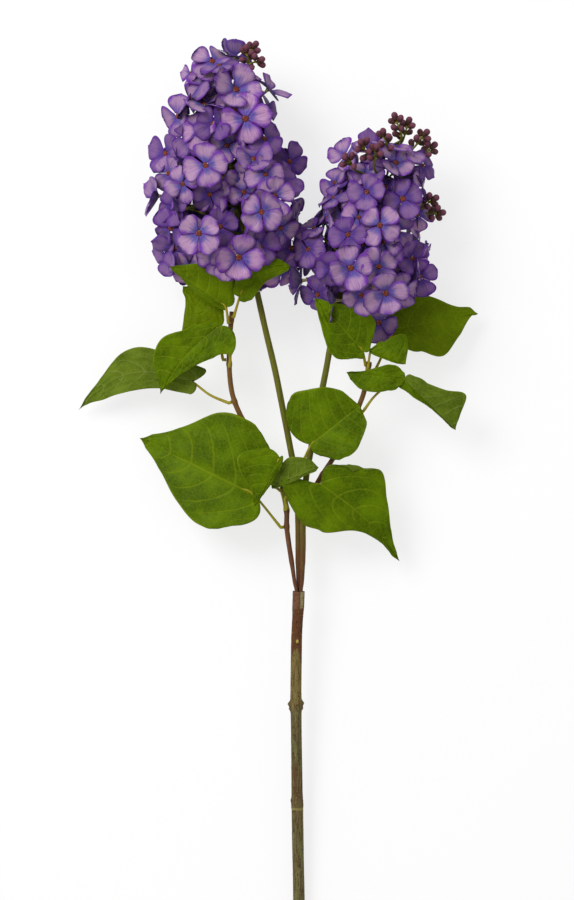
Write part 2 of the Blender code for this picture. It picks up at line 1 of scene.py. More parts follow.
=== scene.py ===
import json
import random
from math import asin, atan2, cos, exp, hypot, pi, radians, sin, sqrt

import bpy
from mathutils import Matrix, Vector, noise

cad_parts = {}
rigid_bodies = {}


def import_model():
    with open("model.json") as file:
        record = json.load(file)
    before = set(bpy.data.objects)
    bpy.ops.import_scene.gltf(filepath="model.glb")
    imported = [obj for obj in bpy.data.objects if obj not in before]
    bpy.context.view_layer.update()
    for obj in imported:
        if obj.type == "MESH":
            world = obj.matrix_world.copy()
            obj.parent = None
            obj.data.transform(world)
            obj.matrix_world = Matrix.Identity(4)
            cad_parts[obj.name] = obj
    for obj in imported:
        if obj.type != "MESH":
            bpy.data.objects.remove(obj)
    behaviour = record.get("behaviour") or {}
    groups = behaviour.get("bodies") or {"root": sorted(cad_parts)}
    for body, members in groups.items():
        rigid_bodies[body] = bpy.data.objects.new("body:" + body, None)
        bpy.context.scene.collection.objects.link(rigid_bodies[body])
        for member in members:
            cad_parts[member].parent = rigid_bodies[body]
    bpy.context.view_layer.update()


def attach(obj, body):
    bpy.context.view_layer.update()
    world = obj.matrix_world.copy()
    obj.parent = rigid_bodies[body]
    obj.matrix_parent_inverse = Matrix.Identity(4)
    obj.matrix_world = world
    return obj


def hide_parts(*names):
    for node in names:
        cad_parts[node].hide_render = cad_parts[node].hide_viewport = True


# A silk lilac spray lying on a pale table: bark stem with a collar, two bare stems that carry
# flower heads, two leafy twigs and fourteen leaf pieces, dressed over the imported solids.

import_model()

# Places are in millimetres from the collar's mouth: x across, y up the stem, z over the table.
layout = {"centreX": -14.5, "centreY": 64.0, "cutEnd": -286.0, "stemRadius": 4.5, "slope": 0.0765,
          "lowest": 0.1, "metre": 0.001}


def onTable(point):
    # millimetres from the collar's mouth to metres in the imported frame, never below the table
    x, y, z = point
    return Vector((x - layout["centreX"], y - layout["centreY"], max(z, layout["lowest"]))) * layout["metre"]


def slopeHeight(y):
    # how high the middle of the stems runs over the table
    return layout["stemRadius"] + layout["slope"] * (y - layout["cutEnd"])


def curved(before, start, end, after, share):
    # the value or point at a share of the way from start to end on a smooth curve
    return (2 * start + (end - before) * share + (2 * before - 5 * start + 4 * end - after) * share ** 2
            + (3 * start - before - 3 * end + after) * share ** 3) / 2


def between(knots, at):
    # smooth value through (place, value) knots
    last = len(knots) - 1
    piece = max((number for number in range(last) if knots[number][0] <= at), default=0)
    (start, low), (end, high) = knots[piece], knots[piece + 1]
    share = min(max((at - start) / (end - start), 0.0), 1.0)
    return curved(knots[max(piece - 1, 0)][1], low, high, knots[min(piece + 2, last)][1], share)


def smoothPath(places, steps, finer=16):
    # even row of points on a smooth curve through the places
    places = [Vector(place) for place in places]
    ends = [2 * places[0] - places[1], *places, 2 * places[-1] - places[-2]]
    fine = [curved(*four, step / finer) for four in zip(ends, ends[1:], ends[2:], ends[3:])
            for step in range(finer)] + [places[-1]]
    travelled = [0.0]
    for start, end in zip(fine, fine[1:]):
        travelled.append(travelled[-1] + (end - start).length)
    row, piece = [], 0
    for step in range(steps + 1):
        target = travelled[-1] * step / steps
        while piece < len(fine) - 2 and travelled[piece + 1] < target:
            piece += 1
        share = (target - travelled[piece]) / (travelled[piece + 1] - travelled[piece])
        row.append(fine[piece].lerp(fine[piece + 1], share))
    return row


def framesAlong(path):
    # (point, across, side) for each point of the path, without twist
    ahead = (path[1] - path[0]).normalized()
    across = Vector((0, 0, 1)) if abs(ahead.z) < 0.9 else Vector((1, 0, 0))
    frames = []
    for step, point in enumerate(path):
        ahead = (path[min(step + 1, len(path) - 1)] - path[max(step - 1, 0)]).normalized()
        across = (across - ahead * across.dot(ahead)).normalized()
        frames.append((point, across, ahead.cross(across)))
    return frames


def camel(node):
    first, *words = node.split("_")
    return first + "".join(word.capitalize() for word in words)


# Colours and nodes

def linear(hexColour):
    values = []
    for start in (1, 3, 5):
        value = int(hexColour[start:start + 2], 16) / 255
        values.append(value / 12.92 if value <= 0.04045 else ((value + 0.055) / 1.055) ** 2.4)
    return (*values, 1.0)


def made(tree, kind, values=None, output=0, **settings):
    # a new node with its settings, input values and links, as the field of one output
    node = tree.nodes.new(kind)
    for name, value in settings.items():
        setattr(node, name, value)
    for name, value in (values or {}).items():
        value = value.socket if isinstance(value, Field) else value
        if isinstance(value, bpy.types.NodeSocket):
            tree.links.new(value, node.inputs[name])
        else:
            node.inputs[name].default_value = value
    return Field(tree, node.outputs[output])


class Field:
    # a node's output, which arithmetic turns into further nodes
    def __init__(self, tree, socket):
        self.tree = tree
        self.socket = socket

    def sums(self, operation, second=0.0, third=0.0):
        return made(self.tree, "ShaderNodeMath", {0: self, 1: second, 2: third}, operation=operation)

    def __add__(self, other):
        return self.sums("ADD", other)

    def __sub__(self, other):
        return self.sums("SUBTRACT", other)

    def __rsub__(self, other):
        return made(self.tree, "ShaderNodeMath", {0: other, 1: self}, operation="SUBTRACT")

    def __mul__(self, other):
        return self.sums("MULTIPLY", other)

    def __truediv__(self, other):
        return self.sums("DIVIDE", other)

    def __pow__(self, other):
        return self.sums("POWER", other)

    def __abs__(self):
        return self.sums("ABSOLUTE")

    def either(self, other):
        return self.sums("MAXIMUM", other)

    def centred(self, width):
        # a speckle from 0 to 1 becomes a shift to both sides
        return self.sums("MULTIPLY_ADD", width, -width / 2)

    def ramp(self, low, high, start=0.0, end=1.0):
        # low to high becomes start to end, eased at both ends
        return made(self.tree, "ShaderNodeMapRange", {"Value": self, "From Min": low, "From Max": high,
                                                      "To Min": start, "To Max": end},
                    interpolation_type="SMOOTHSTEP")

    def stretched(self, scale):
        return made(self.tree, "ShaderNodeVectorMath", {0: self, 1: scale}, operation="MULTIPLY")

    def axes(self):
        split = made(self.tree, "ShaderNodeSeparateXYZ", {0: self})
        return [Field(self.tree, output) for output in split.socket.node.outputs]


def mixed(share, first, second, blend="MIX"):
    # inputs 0, 6 and 7 are the mix node's share and its two colours
    first, second = [linear(colour) if isinstance(colour, str) else colour for colour in (first, second)]
    return made(share.tree, "ShaderNodeMix", {0: share, 6: first, 7: second}, 2, data_type="RGBA",
                blend_type=blend)


def layered(colour, *layers):
    # each layer is a share and a colour, with a blend type if it isn't a plain mix
    for share, *layer in layers:
        colour = mixed(share, colour, *layer)
    return colour


def speckle(where, scale, detail=2.0, roughness=0.5, along=1.0):
    # noise from 0 to 1, drawn out along the stem where along is under 1
    if along < 1.0:
        where = where.stretched((1.0, along, 1.0))
    return made(where.tree, "ShaderNodeTexNoise", {"Vector": where, "Scale": scale, "Detail": detail,
                                                   "Roughness": roughness})


def attribute(tree, name, output="Vector"):
    return made(tree, "ShaderNodeAttribute", None, output, attribute_name=name)


def startFinish(name, roughness, sheen=0.0, specular=0.2):
    # a material with its tree, and the object's own coordinates in millimetres
    material = bpy.data.materials.new(name)
    material.use_nodes = True
    tree = material.node_tree
    inputs = tree.nodes["Principled BSDF"].inputs
    for title, value in (("Roughness", roughness), ("Sheen Weight", sheen), ("Specular IOR Level", specular)):
        inputs[title].default_value = value
    return material, tree, made(tree, "ShaderNodeTexCoord", None, "Object").stretched((1000, 1000, 1000))


def endFinish(material, colour, height, strength, distance):
    # its colour, and a height in shares of a distance in metres
    tree = material.node_tree
    inputs = tree.nodes["Principled BSDF"].inputs
    bump = made(tree, "ShaderNodeBump", {"Height": height, "Strength": strength, "Distance": distance})
    tree.links.new(colour.socket, inputs["Base Color"])
    tree.links.new(bump.socket, inputs["Normal"])
    return material


# Meshes

def meshOf(name, points, edges=(), faces=()):
    mesh = bpy.data.meshes.new(name)
    mesh.from_pydata(points, edges, faces)
    return mesh


def linked(name, data):
    # an object of the data in the scene
    item = bpy.data.objects.new(name, data)
    bpy.context.scene.collection.objects.link(item)
    return item


def written(mesh, title, kind, values):
    # one attribute of the mesh's points; vectors come as rows
    layer = mesh.attributes.new(title, kind, "POINT").data
    if kind == "FLOAT_VECTOR":
        layer.foreach_set("vector", [part for value in values for part in value])
    else:
        layer.foreach_set("value", values)


def makePiece(name, points, faces, looks, kinds=None, spots=None):
    # points in millimetres; kinds choose each face's finish, and spots are what finishes read
    mesh = meshOf(name, [onTable(point) for point in points], [], faces)
    for look in looks:
        mesh.materials.append(finishes[look])
    if kinds:
        mesh.polygons.foreach_set("material_index", kinds)
    for title, values in (spots or {}).items():
        written(mesh, title, "FLOAT_VECTOR", values)
    mesh.shade_smooth()
    return linked(name, mesh)


def circle(spot, radii):
    # a ring of points round a spot's middle, one for each radius
    middle, across, side = spot
    turns = [2 * pi * corner / len(radii) for corner in range(len(radii))]
    return [middle + (across * cos(turn) + side * sin(turn)) * radius for turn, radius in zip(turns, radii)]


def band(start, end, sides):
    # squares between two rings of points
    return [(start + corner, start + (corner + 1) % sides, end + (corner + 1) % sides, end + corner)
            for corner in range(sides)]


def bands(rings, sides):
    return [face for ring in range(rings - 1) for face in band(ring * sides, (ring + 1) * sides, sides)]


def tube(path, radii, sides):
    # one ring of points for each place on the path, with flat caps
    points = []
    for spot, radius in zip(framesAlong(path), radii):
        points += circle(spot, [radius] * sides)
    last = (len(path) - 1) * sides
    return points, [tuple(reversed(range(sides))), *bands(len(path), sides), tuple(range(last, last + sides))]


def cells(rows, columns, start=0):
    # corners of each square of a grid of points, row by row
    for row in range(rows):
        for column in range(columns):
            corner = start + row * (columns + 1) + column
            yield corner, corner + columns + 1, corner + columns + 2, corner + 1


def slab(rows, columns, start=0):
    # faces of a thin sheet: an upper and a lower grid in pairs of squares, then the walls
    wide = columns + 1
    count = (rows + 1) * wide
    faces = []
    for a, b, c, d in cells(rows, columns, start):
        faces += [(a, b, c, d), (d + count, c + count, b + count, a + count)]
    # down the first row, the last column, the last row and the first column
    rim = [*range(wide), *range(wide + columns, count, wide), *range(count - 2, rows * wide - 1, -1),
           *range((rows - 1) * wide, 0, -wide)]
    rim = [start + corner for corner in rim]
    return faces + [(a, b, b + count, a + count) for a, b in zip(rim, rim[1:] + rim[:1])]


# Geometry node trees

def startTree(name, inputs):
    # inputs: [(title, socket kind, value)]; every tree takes its finish as well
    tree = bpy.data.node_groups.new(name, "GeometryNodeTree")
    for title, kind, value in [("Geometry", "Geometry", None), *inputs, ("Finish", "Material", None)]:
        socket = tree.interface.new_socket(title, in_out="INPUT", socket_type="NodeSocket" + kind)
        if value is not None:
            socket.default_value = value
    tree.interface.new_socket("Geometry", in_out="OUTPUT", socket_type="NodeSocketGeometry")
    return tree, tree.nodes.new("NodeGroupInput").outputs


def endTree(geometry, given):
    tree = geometry.tree
    real = made(tree, "GeometryNodeRealizeInstances", {"Geometry": geometry})
    painted = made(tree, "GeometryNodeSetMaterial", {"Geometry": real, "Material": given["Finish"]})
    tree.links.new(painted.socket, tree.nodes.new("NodeGroupOutput").inputs["Geometry"])
    return tree


def named(tree, name, kind):
    return made(tree, "GeometryNodeInputNamedAttribute", {"Name": name}, data_type=kind)


def twigTree():
    # round twigs along the edges of a mesh, as thick as each point's girth in millimetres
    tree, given = startTree("roundTwigs", [("Sides", "Int", 8), ("Thickness", "Float", 1.0)])
    lines = made(tree, "GeometryNodeMeshToCurve", {"Mesh": given["Geometry"]})
    ring = made(tree, "GeometryNodeCurvePrimitiveCircle", {"Resolution": given["Sides"], "Radius": 0.001})
    thick = named(tree, "girth", "FLOAT") * given["Thickness"]
    twigs = made(tree, "GeometryNodeCurveToMesh", {"Curve": lines, "Profile Curve": ring, "Scale": thick,
                                                   "Fill Caps": True})
    return endTree(made(tree, "GeometryNodeSetShadeSmooth", {"Geometry": twigs}), given)


def scatterTree():
    # one of the parts on each point, chosen by its kind, turned and sized by its attributes
    tree, given = startTree("scatterParts", [("Parts", "Collection", None), ("Size", "Float", 1.0)])
    parts = made(tree, "GeometryNodeCollectionInfo", {"Collection": given["Parts"], "Separate Children": True,
                                                      "Reset Children": True})
    placed = made(tree, "GeometryNodeInstanceOnPoints",
                  {"Points": given["Geometry"], "Instance": parts, "Pick Instance": True,
                   "Instance Index": named(tree, "kind", "INT"),
                   "Rotation": named(tree, "turn", "FLOAT_VECTOR"),
                   "Scale": named(tree, "size", "FLOAT") * given["Size"]})
    return endTree(placed, given)


def speckTree():
    # small raised specks scattered over a surface with a fixed seed
    tree, given = startTree("scatterSpecks", [("Density", "Float", 8000.0), ("Apart", "Float", 0.002),
                                              ("Speck", "Float", 0.0004), ("Seed", "Int", 5)])
    spots = made(tree, "GeometryNodeDistributePointsOnFaces",
                 {"Mesh": given["Geometry"], "Distance Min": given["Apart"], "Density Max": given["Density"],
                  "Seed": given["Seed"]}, "Points", distribute_method="POISSON")
    grain = made(tree, "GeometryNodeMeshIcoSphere", {"Radius": given["Speck"], "Subdivisions": 1}, "Mesh")
    spread = made(tree, "FunctionNodeRandomValue", {"Min": (0.6, 0.6, 0.25), "Max": (1.7, 1.7, 0.5),
                                                    "Seed": given["Seed"]}, data_type="FLOAT_VECTOR")
    placed = made(tree, "GeometryNodeInstanceOnPoints",
                  {"Points": spots, "Instance": grain, "Rotation": spots.socket.node.outputs["Rotation"],
                   "Scale": spread})
    return endTree(placed, given)


trees = {"twigs": twigTree(), "scatter": scatterTree(), "specks": speckTree()}


def grown(name, mesh, tree, values):
    # the tree's result as a plain mesh, with no modifier left
    piece = linked(name, mesh)
    modifier = piece.modifiers.new("Grow", "NODES")
    modifier.node_group = trees[tree]
    for item in trees[tree].interface.items_tree:
        if item.in_out == "INPUT" and item.name in values:
            modifier[item.identifier] = values[item.name]
    graph = bpy.context.evaluated_depsgraph_get()
    result = bpy.data.meshes.new_from_object(piece.evaluated_get(graph), preserve_all_data_layers=True,
                                             depsgraph=graph)
    piece.modifiers.remove(modifier)
    piece.data = result
    result.name = name
    for vertex in result.vertices:
        vertex.co.z = max(vertex.co.z, layout["lowest"] * layout["metre"])
    result.shade_smooth()
    return piece


def grownTwigs(name, lines, sides, finish):
    # lines: [(points in millimetres, girths)]
    points, edges, girths = [], [], []
    for path, radii in lines:
        edges += [(len(points) + step, len(points) + step + 1) for step in range(len(path) - 1)]
        points += [onTable(point) for point in path]
        girths += radii
    mesh = meshOf(name, points, edges)
    written(mesh, "girth", "FLOAT", girths)
    return grown(name, mesh, "twigs", {"Sides": sides, "Finish": finishes[finish]})


def scattered(name, places, part, finish):
    # places: [(point in millimetres, matrix, size, kind, tint)]
    points, matrices, sizes, kinds, tints = zip(*places)
    mesh = meshOf(name, [onTable(point) for point in points])
    written(mesh, "turn", "FLOAT_VECTOR", [matrix.to_euler() for matrix in matrices])
    for title, kind, values in (("size", "FLOAT", sizes), ("kind", "INT", kinds), ("tint", "FLOAT", tints)):
        written(mesh, title, kind, values)
    return grown(name, mesh, "scatter", {"Parts": bins[part], "Finish": finishes[finish]})


def partsBin(name, shapes):
    # a collection of part shapes in millimetres round their own origin, outside the scene
    collection = bpy.data.collections.new(name)
    for number, (points, faces, spots) in enumerate(shapes):
        title = f"{name}{number:02d}"
        mesh = meshOf(title, [Vector(point) * layout["metre"] for point in points], [], faces)
        written(mesh, "spot", "FLOAT_VECTOR", spots)
        collection.objects.link(bpy.data.objects.new(title, mesh))
    return collection


# Finishes

def petalFinish(name, rim, rimLight, middle, throat, streak, light, deep, back):
    # woven silk petal: purple rim, pale middle, blue-violet throat, fine streaks from the eye
    material, tree, where = startFinish(name, 0.66, sheen=0.08, specular=0.12)
    across, along, side = attribute(tree, "spot").axes()
    tint = attribute(tree, "tint", "Fac")
    blotch = speckle(where, 0.16, 3.0)
    outward = (abs(across) ** 2.4).either(along ** 4.0) + blotch.centred(1.3)
    inner = mixed((along + blotch.centred(0.5)).ramp(0.12, 0.52), throat, middle)
    rays = made(tree, "ShaderNodeCombineXYZ", {0: across * 26.0, 1: along * 2.0, 2: tint * 40.0})
    line = speckle(rays, 0.8)
    colour = layered(
        inner, (outward.ramp(0.14, 0.86), mixed(blotch.ramp(0.38, 0.62), rim, rimLight)),
        (tint.ramp(0.0, 0.3, 0.45, 0.0), light, "SOFT_LIGHT"), (line.ramp(0.5, 0.72, 0.0, 0.5), streak),
        (line.ramp(0.28, 0.45, 0.35, 0.0), light), (tint.ramp(0.3, 1.0, 0.0, 0.7), deep), (side * 0.6, back))
    return endFinish(material, colour, speckle(where, 2.6, 1.0) * 0.25 + line, 0.35, 0.0006)


def flatFinish(name, low, high, scale, roughness):
    # two close tones in soft patches with a fine grain
    material, _, where = startFinish(name, roughness)
    colour = mixed(speckle(where, scale, 3.0).ramp(0.35, 0.65), low, high)
    return endFinish(material, colour, speckle(where, scale * 6), 0.25, 0.0003)


def alongFinish(name, low, high, roughness, edges=(0.2, 0.9)):
    # tone runs from one end of the part to the other
    material, tree, where = startFinish(name, roughness)
    shift = attribute(tree, "spot").axes()[1] + speckle(where, 0.7).centred(0.3)
    return endFinish(material, mixed(shift.ramp(*edges), low, high), speckle(where, 2.0), 0.3, 0.0004)


def leafFinish(name, dark, light, fleck, vein, edge, pale, veinShare, roughness, relief):
    # printed and embossed leaf cloth, read from each point's place across and along the blade
    material, tree, where = startFinish(name, roughness, specular=0.05)
    across, along = attribute(tree, "spot").axes()[:2]
    wide = abs(across)
    bend = wide ** leafVeins["bend"] * leafVeins["rise"]
    place = (along - bend) / (1.0 - bend) * leafVeins["pairs"] + 0.5
    off = abs(place.sums("FRACT") - 0.5)
    ribs = off.ramp(0.015, 0.085, 1.0, 0.0) * wide.ramp(0.7, 1.0, 1.0, 0.25)
    veins = wide.ramp(0.008, 0.035, 1.0, 0.0).either(ribs * 0.75)
    net = made(tree, "ShaderNodeTexVoronoi", {"Vector": where, "Scale": 0.34}, feature="DISTANCE_TO_EDGE")
    netLine = net.ramp(0.02, 0.12, 1.0, 0.0)
    rim = wide.ramp(0.95, 1.0).either(along.ramp(0.93, 1.0, 0.0, 0.7))
    colour = layered(
        mixed(speckle(where, 0.045, 4.0, 0.55).ramp(0.34, 0.66), dark, light),
        (speckle(where, 0.5, 3.0).ramp(0.45, 0.75, 0.0, 0.25), fleck), (netLine * 0.16, vein),
        # the last layer is painted light: the pale colour over a whole blade, lifting blades that lie in the
        # heads' shadow
        (veins * veinShare, vein), (rim * 0.6, edge), (attribute(tree, "tone").axes()[0], pale))
    height = veins * relief + netLine * (relief * 0.25) + speckle(where, 3.2, 1.0) * 0.1
    return endFinish(material, colour, height, 0.6, 0.0008)


def zone(value, low, high, soft):
    # 1 between two places along the stem, fading out over a soft stretch at each end
    return value.ramp(low - soft, low + soft) * value.ramp(high - soft, high + soft, 1.0, 0.0)


def barkFinish(name, olive, greenGrey, yellow, brown, streak, pale, red, redDeep, ring, dark):
    # moulded bark in zones, with long reddish and pale streaks and dark specks
    material, _, where = startFinish(name, 0.75, specular=0.12)
    up = where.axes()[1]
    grain = speckle(where, 1.1, 5.0, 0.65, along=0.06)
    fine = speckle(where, 2.6, 3.0, 0.6, along=0.1)
    patch = speckle(where, 0.2, 4.0, along=0.25)
    shift = up + patch.centred(40.0)
    colour = layered(
        mixed(patch.ramp(0.4, 0.6), olive, greenGrey),
        (zone(shift, -151, -112, 4.0) * 0.85, yellow), (zone(shift, -226, -196, 5.0) * 0.7, brown),
        (grain.ramp(0.5, 0.6, 0.0, 0.75), streak), (grain.ramp(0.36, 0.46, 0.6, 0.0), pale),
        (fine.ramp(0.54, 0.64, 0.0, 0.5), streak),
        (shift.ramp(-118, -108) * 0.92, mixed(fine.ramp(0.4, 0.65), red, redDeep)),
        (zone(up, -230.4, -228.6, 0.5) * 0.7, ring),
        (speckle(where, 0.85, along=0.6).ramp(0.61, 0.66, 0.0, 0.8), dark))
    return endFinish(material, colour, grain + fine * 0.5, 0.8, 0.0009)


def stemFinish(name, low, high, streak, light, start, end, roughness):
    # low colour near the collar turns into high colour further up, with fine ribs
    material, _, where = startFinish(name, roughness)
    grain = speckle(where, 1.1, 3.0, along=0.05)
    shift = where.axes()[1] + speckle(where, 0.12, 3.0, along=0.3).centred(40.0)
    colour = layered(mixed(shift.ramp(start, end), low, high), (grain.ramp(0.5, 0.7, 0.0, 0.5), streak),
                     (grain.ramp(0.28, 0.42, 0.4, 0.0), light))
    return endFinish(material, colour, grain, 0.5, 0.0005)


leafVeins = {"pairs": 5.5, "rise": 0.42, "bend": 1.3, "depth": 0.42}

finishes = {
    # silk cloth, dyed purple from its rim
    "petal": petalFinish("silkPetal", rim="#501C80", rimLight="#6E349C", middle="#AA86A8", throat="#504894",
                         streak="#562C80", light="#D0B8CC", deep="#4C2276", back="#443276"),
    # raised paint in the middle of a floret, and the moulded plastic tube behind its petals
    "eye": flatFinish("rustPaint", "#4E2018", "#8A3C28", 1.2, 0.55),
    "tube": alongFinish("creamPlasticTube", "#8A8644", "#B4A67C", 0.5),
    # thin plastic stalks of the florets, and the coated wire branches inside a head
    "stalk": flatFinish("yellowGreenPlastic", "#6E6C18", "#8C8A30", 0.4, 0.5),
    "branch": flatFinish("oliveCoatedWire", "#4E5010", "#6A6820", 0.2, 0.55),
    # flocked foam buds and their cups
    "bud": alongFinish("plumFoamBud", "#3E1E22", "#6A3A4A", 0.7, (0.1, 0.9)),
    "budCup": flatFinish("darkBudCup", "#34201A", "#52381C", 1.0, 0.6),
    # coated leaf cloth, its printed face and its dull back; the last colour of each is painted light for
    # blades in the heads' shadow
    "leaf": leafFinish("leafClothFace", "#3E5400", "#587200", "#668000", "#7E8E14", "#7A8A10", "#708200",
                       veinShare=0.36, roughness=0.5, relief=-0.6),
    "leafBack": leafFinish("leafClothBack", "#4A5E0A", "#60741A", "#6C7E26", "#848F44", "#748226", "#768432",
                           veinShare=0.4, roughness=0.62, relief=0.7),
    "petiole": stemFinish("yellowCoatedWire", "#8E8A14", "#9A8A1E", "#7A6A14", "#AEA63A", -60, 200, 0.5),
    # moulded bark, its specks and its cut core, and the tape and bud tip on it
    "bark": barkFinish("mouldedBark", olive="#665A38", greenGrey="#68683F", yellow="#7C6C3A", brown="#5A4028",
                       streak="#4C3220", pale="#857B4C", red="#653D22", redDeep="#52301C", ring="#948A50",
                       dark="#2E1C14"),
    "speck": flatFinish("barkSpeck", "#463222", "#847250", 0.3, 0.7),
    "cut": flatFinish("cutCore", "#B09A6C", "#8C7448", 0.8, 0.8),
    "collar": flatFinish("collarTape", "#5C3824", "#6E4A32", 0.4, 0.6),
    "flap": flatFinish("paleTapeEnd", "#7C6E46", "#978B62", 0.5, 0.6),
    "tip": flatFinish("yellowBudTip", "#A08E34", "#B8A850", 0.8, 0.55),
    # coated or paper-covered stems
    "flowerStem": stemFinish("oliveCoatedStem", "#5C3620", "#5E6012", "#4E3C16", "#827E34", -62, 30, 0.5),
    "twig": stemFinish("brownPaperTape", "#5E3A26", "#6C4C22", "#4A2E18", "#8A7242", -60, 80, 0.6),
    "internode": flatFinish("greenPaperTape", "#7C7A20", "#908A30", 0.3, 0.55),
}
print("finishes made", len(finishes))

pieces = []


def claimed(piece, slotName, *nodes):
    # the pieces that ride and replace solids at the end; the slot name is not used
    pieces.append((piece, slotName, nodes))
    return piece


# Bark stem

barkStem = {
    "line": ((0.9, 0), (-0.6, -36), (-1.1, -81), (-0.4, -141), (0.4, -193), (1.1, -231), (1.6, -286)),
    "girth": ((0, 4.5), (13, 4.5), (18, 4.15), (45, 4.15), (78, 4.15), (83, 4.3), (88, 4.4), (94, 4.15),
              (124, 4.15), (154, 4.25), (159, 4.5), (163, 4.65), (167, 4.4), (205, 4.4), (245, 4.4),
              (286, 4.5)),
    # sideways as the sine of the turn from straight up, place along y, height and half-length
    "knobs": ((-1, -85.6, 2, 1.9), (-0.96, -89.2, 1.3, 1.2), (1, -85, 1.9, 1.9), (0.97, -88.6, 1.3, 1.2),
              (0.1, -37.5, 1.1, 1.5), (-1, -159, 0.6, 1.4)),
    "bore": 3.9, "boreDepth": 12.0, "sides": 40, "step": 1.1, "ridge": 0.16, "grain": 0.07,
    "core": 3.7, "rounding": 0.25, "collarRings": 16,
    "specks": {"Density": 60000.0, "Apart": 0.0016, "Speck": 0.00042, "Seed": 11,
               "Finish": finishes["speck"]},
}


def barkRadius(settings, down, turn):
    # girth with long ridges, fine grain and the side knobs; turn 0 is straight up
    radius = between(settings["girth"], down)
    radius += settings["ridge"] * noise.noise(Vector((cos(turn) * 1.7, sin(turn) * 1.7, down * 0.035)))
    radius += settings["grain"] * noise.noise(Vector((cos(turn) * 6, sin(turn) * 6, down * 0.3)))
    for sideways, y, knob, long in settings["knobs"]:
        facing = asin(sideways)
        apart = atan2(sin(turn - facing), cos(turn - facing))
        radius += knob * exp(-(((down + y) / long) ** 2) - (apart / 0.4) ** 2)
    return radius


def makeBarkStem(settings):
    length, sides = -layout["cutEnd"], settings["sides"]
    line = [(-y, x) for x, y in settings["line"]]
    count = int(length / settings["step"])
    downs = [length * (1 - step / count) for step in range(count + 1)]
    spots = framesAlong([Vector((between(line, down), -down, slopeHeight(-down))) for down in downs])
    turns = [2 * pi * corner / sides for corner in range(sides)]
    points = []
    for down, spot in zip(downs, spots):
        # the cut edge is a little rounded
        less = settings["rounding"] if down == downs[0] else 0.0
        points += circle(spot, [barkRadius(settings, down, turn) - less for turn in turns])
    mouth, across, side = spots[-1]
    inward = across.cross(side).normalized()
    for middle in (mouth, mouth - inward * settings["boreDepth"]):
        points += circle((middle, across, side), [settings["bore"]] * sides)
    rings, start = len(points) // sides, len(points)
    faces = bands(rings, sides)
    kinds = [2 if ring > rings - settings["collarRings"] else 0 for ring in range(rings - 1) for _ in turns]
    # the cut face, a ring of bark round a pale core, and the bottom of the bore
    points += circle(spots[0], [settings["core"]] * sides)
    faces += [(last, *others) for *others, last in band(start, 0, sides)]
    faces += [tuple(reversed(range(start, start + sides))), tuple(range(start - sides, start))]
    kinds += [0] * sides + [1, 0]
    stem = makePiece("barkStem", points, faces, ("bark", "cut", "collar"), kinds)
    claimed(stem, "bark", "bark_stem")
    claimed(grown("barkSpecks", stem.data.copy(), "specks", settings["specks"]), "bark")


tapeEnd = {"rows": 14, "columns": 6, "length": 12.5, "top": 0.3, "turn": 18, "width": 40, "taper": 0.35,
           "radius": 4.78, "lift": 0.35, "x": 0.9, "lean": 0.041}


def makeFlap(settings):
    # the loose end of the tape that wraps the collar
    rows, columns = settings["rows"], settings["columns"]
    points = []
    for row in range(rows + 1):
        y = -settings["length"] * row / rows - settings["top"]
        for column in range(columns + 1):
            width = settings["width"] * column / columns * (1 - settings["taper"] * row / rows)
            turn = radians(settings["turn"] + width)
            radius = settings["radius"] + settings["lift"] * (row / rows) ** 2 * (column / columns)
            points.append((settings["x"] + settings["lean"] * y + radius * sin(turn), y,
                           slopeHeight(y) + radius * cos(turn)))
    claimed(makePiece("tapeEnd", points, [*cells(rows, columns)], ["flap"]), "bark")


budTip = {"x": -0.2, "y": -38.6, "height": 4.2, "way": ((0, 0, 0), (0.1, 0.9, 0.9), (0.15, 2.4, 1.3)),
          "girth": ((0, 0.9), (0.5, 1.0), (1, 0.3)), "steps": 8}


def makeBudTip(settings):
    # the small yellow tip of the bud bump on the stem's front
    y, steps = settings["y"], settings["steps"]
    foot = Vector((settings["x"], y, slopeHeight(y) + settings["height"]))
    path = smoothPath([foot + Vector(way) for way in settings["way"]], steps)
    radii = [between(settings["girth"], step / steps) for step in range(steps + 1)]
    claimed(makePiece("budTip", *tube(path, radii, 12), ["tip"]), "bark")


makeBarkStem(barkStem)
makeFlap(tapeEnd)
makeBudTip(budTip)
print("bark stem made")

# Thin stems

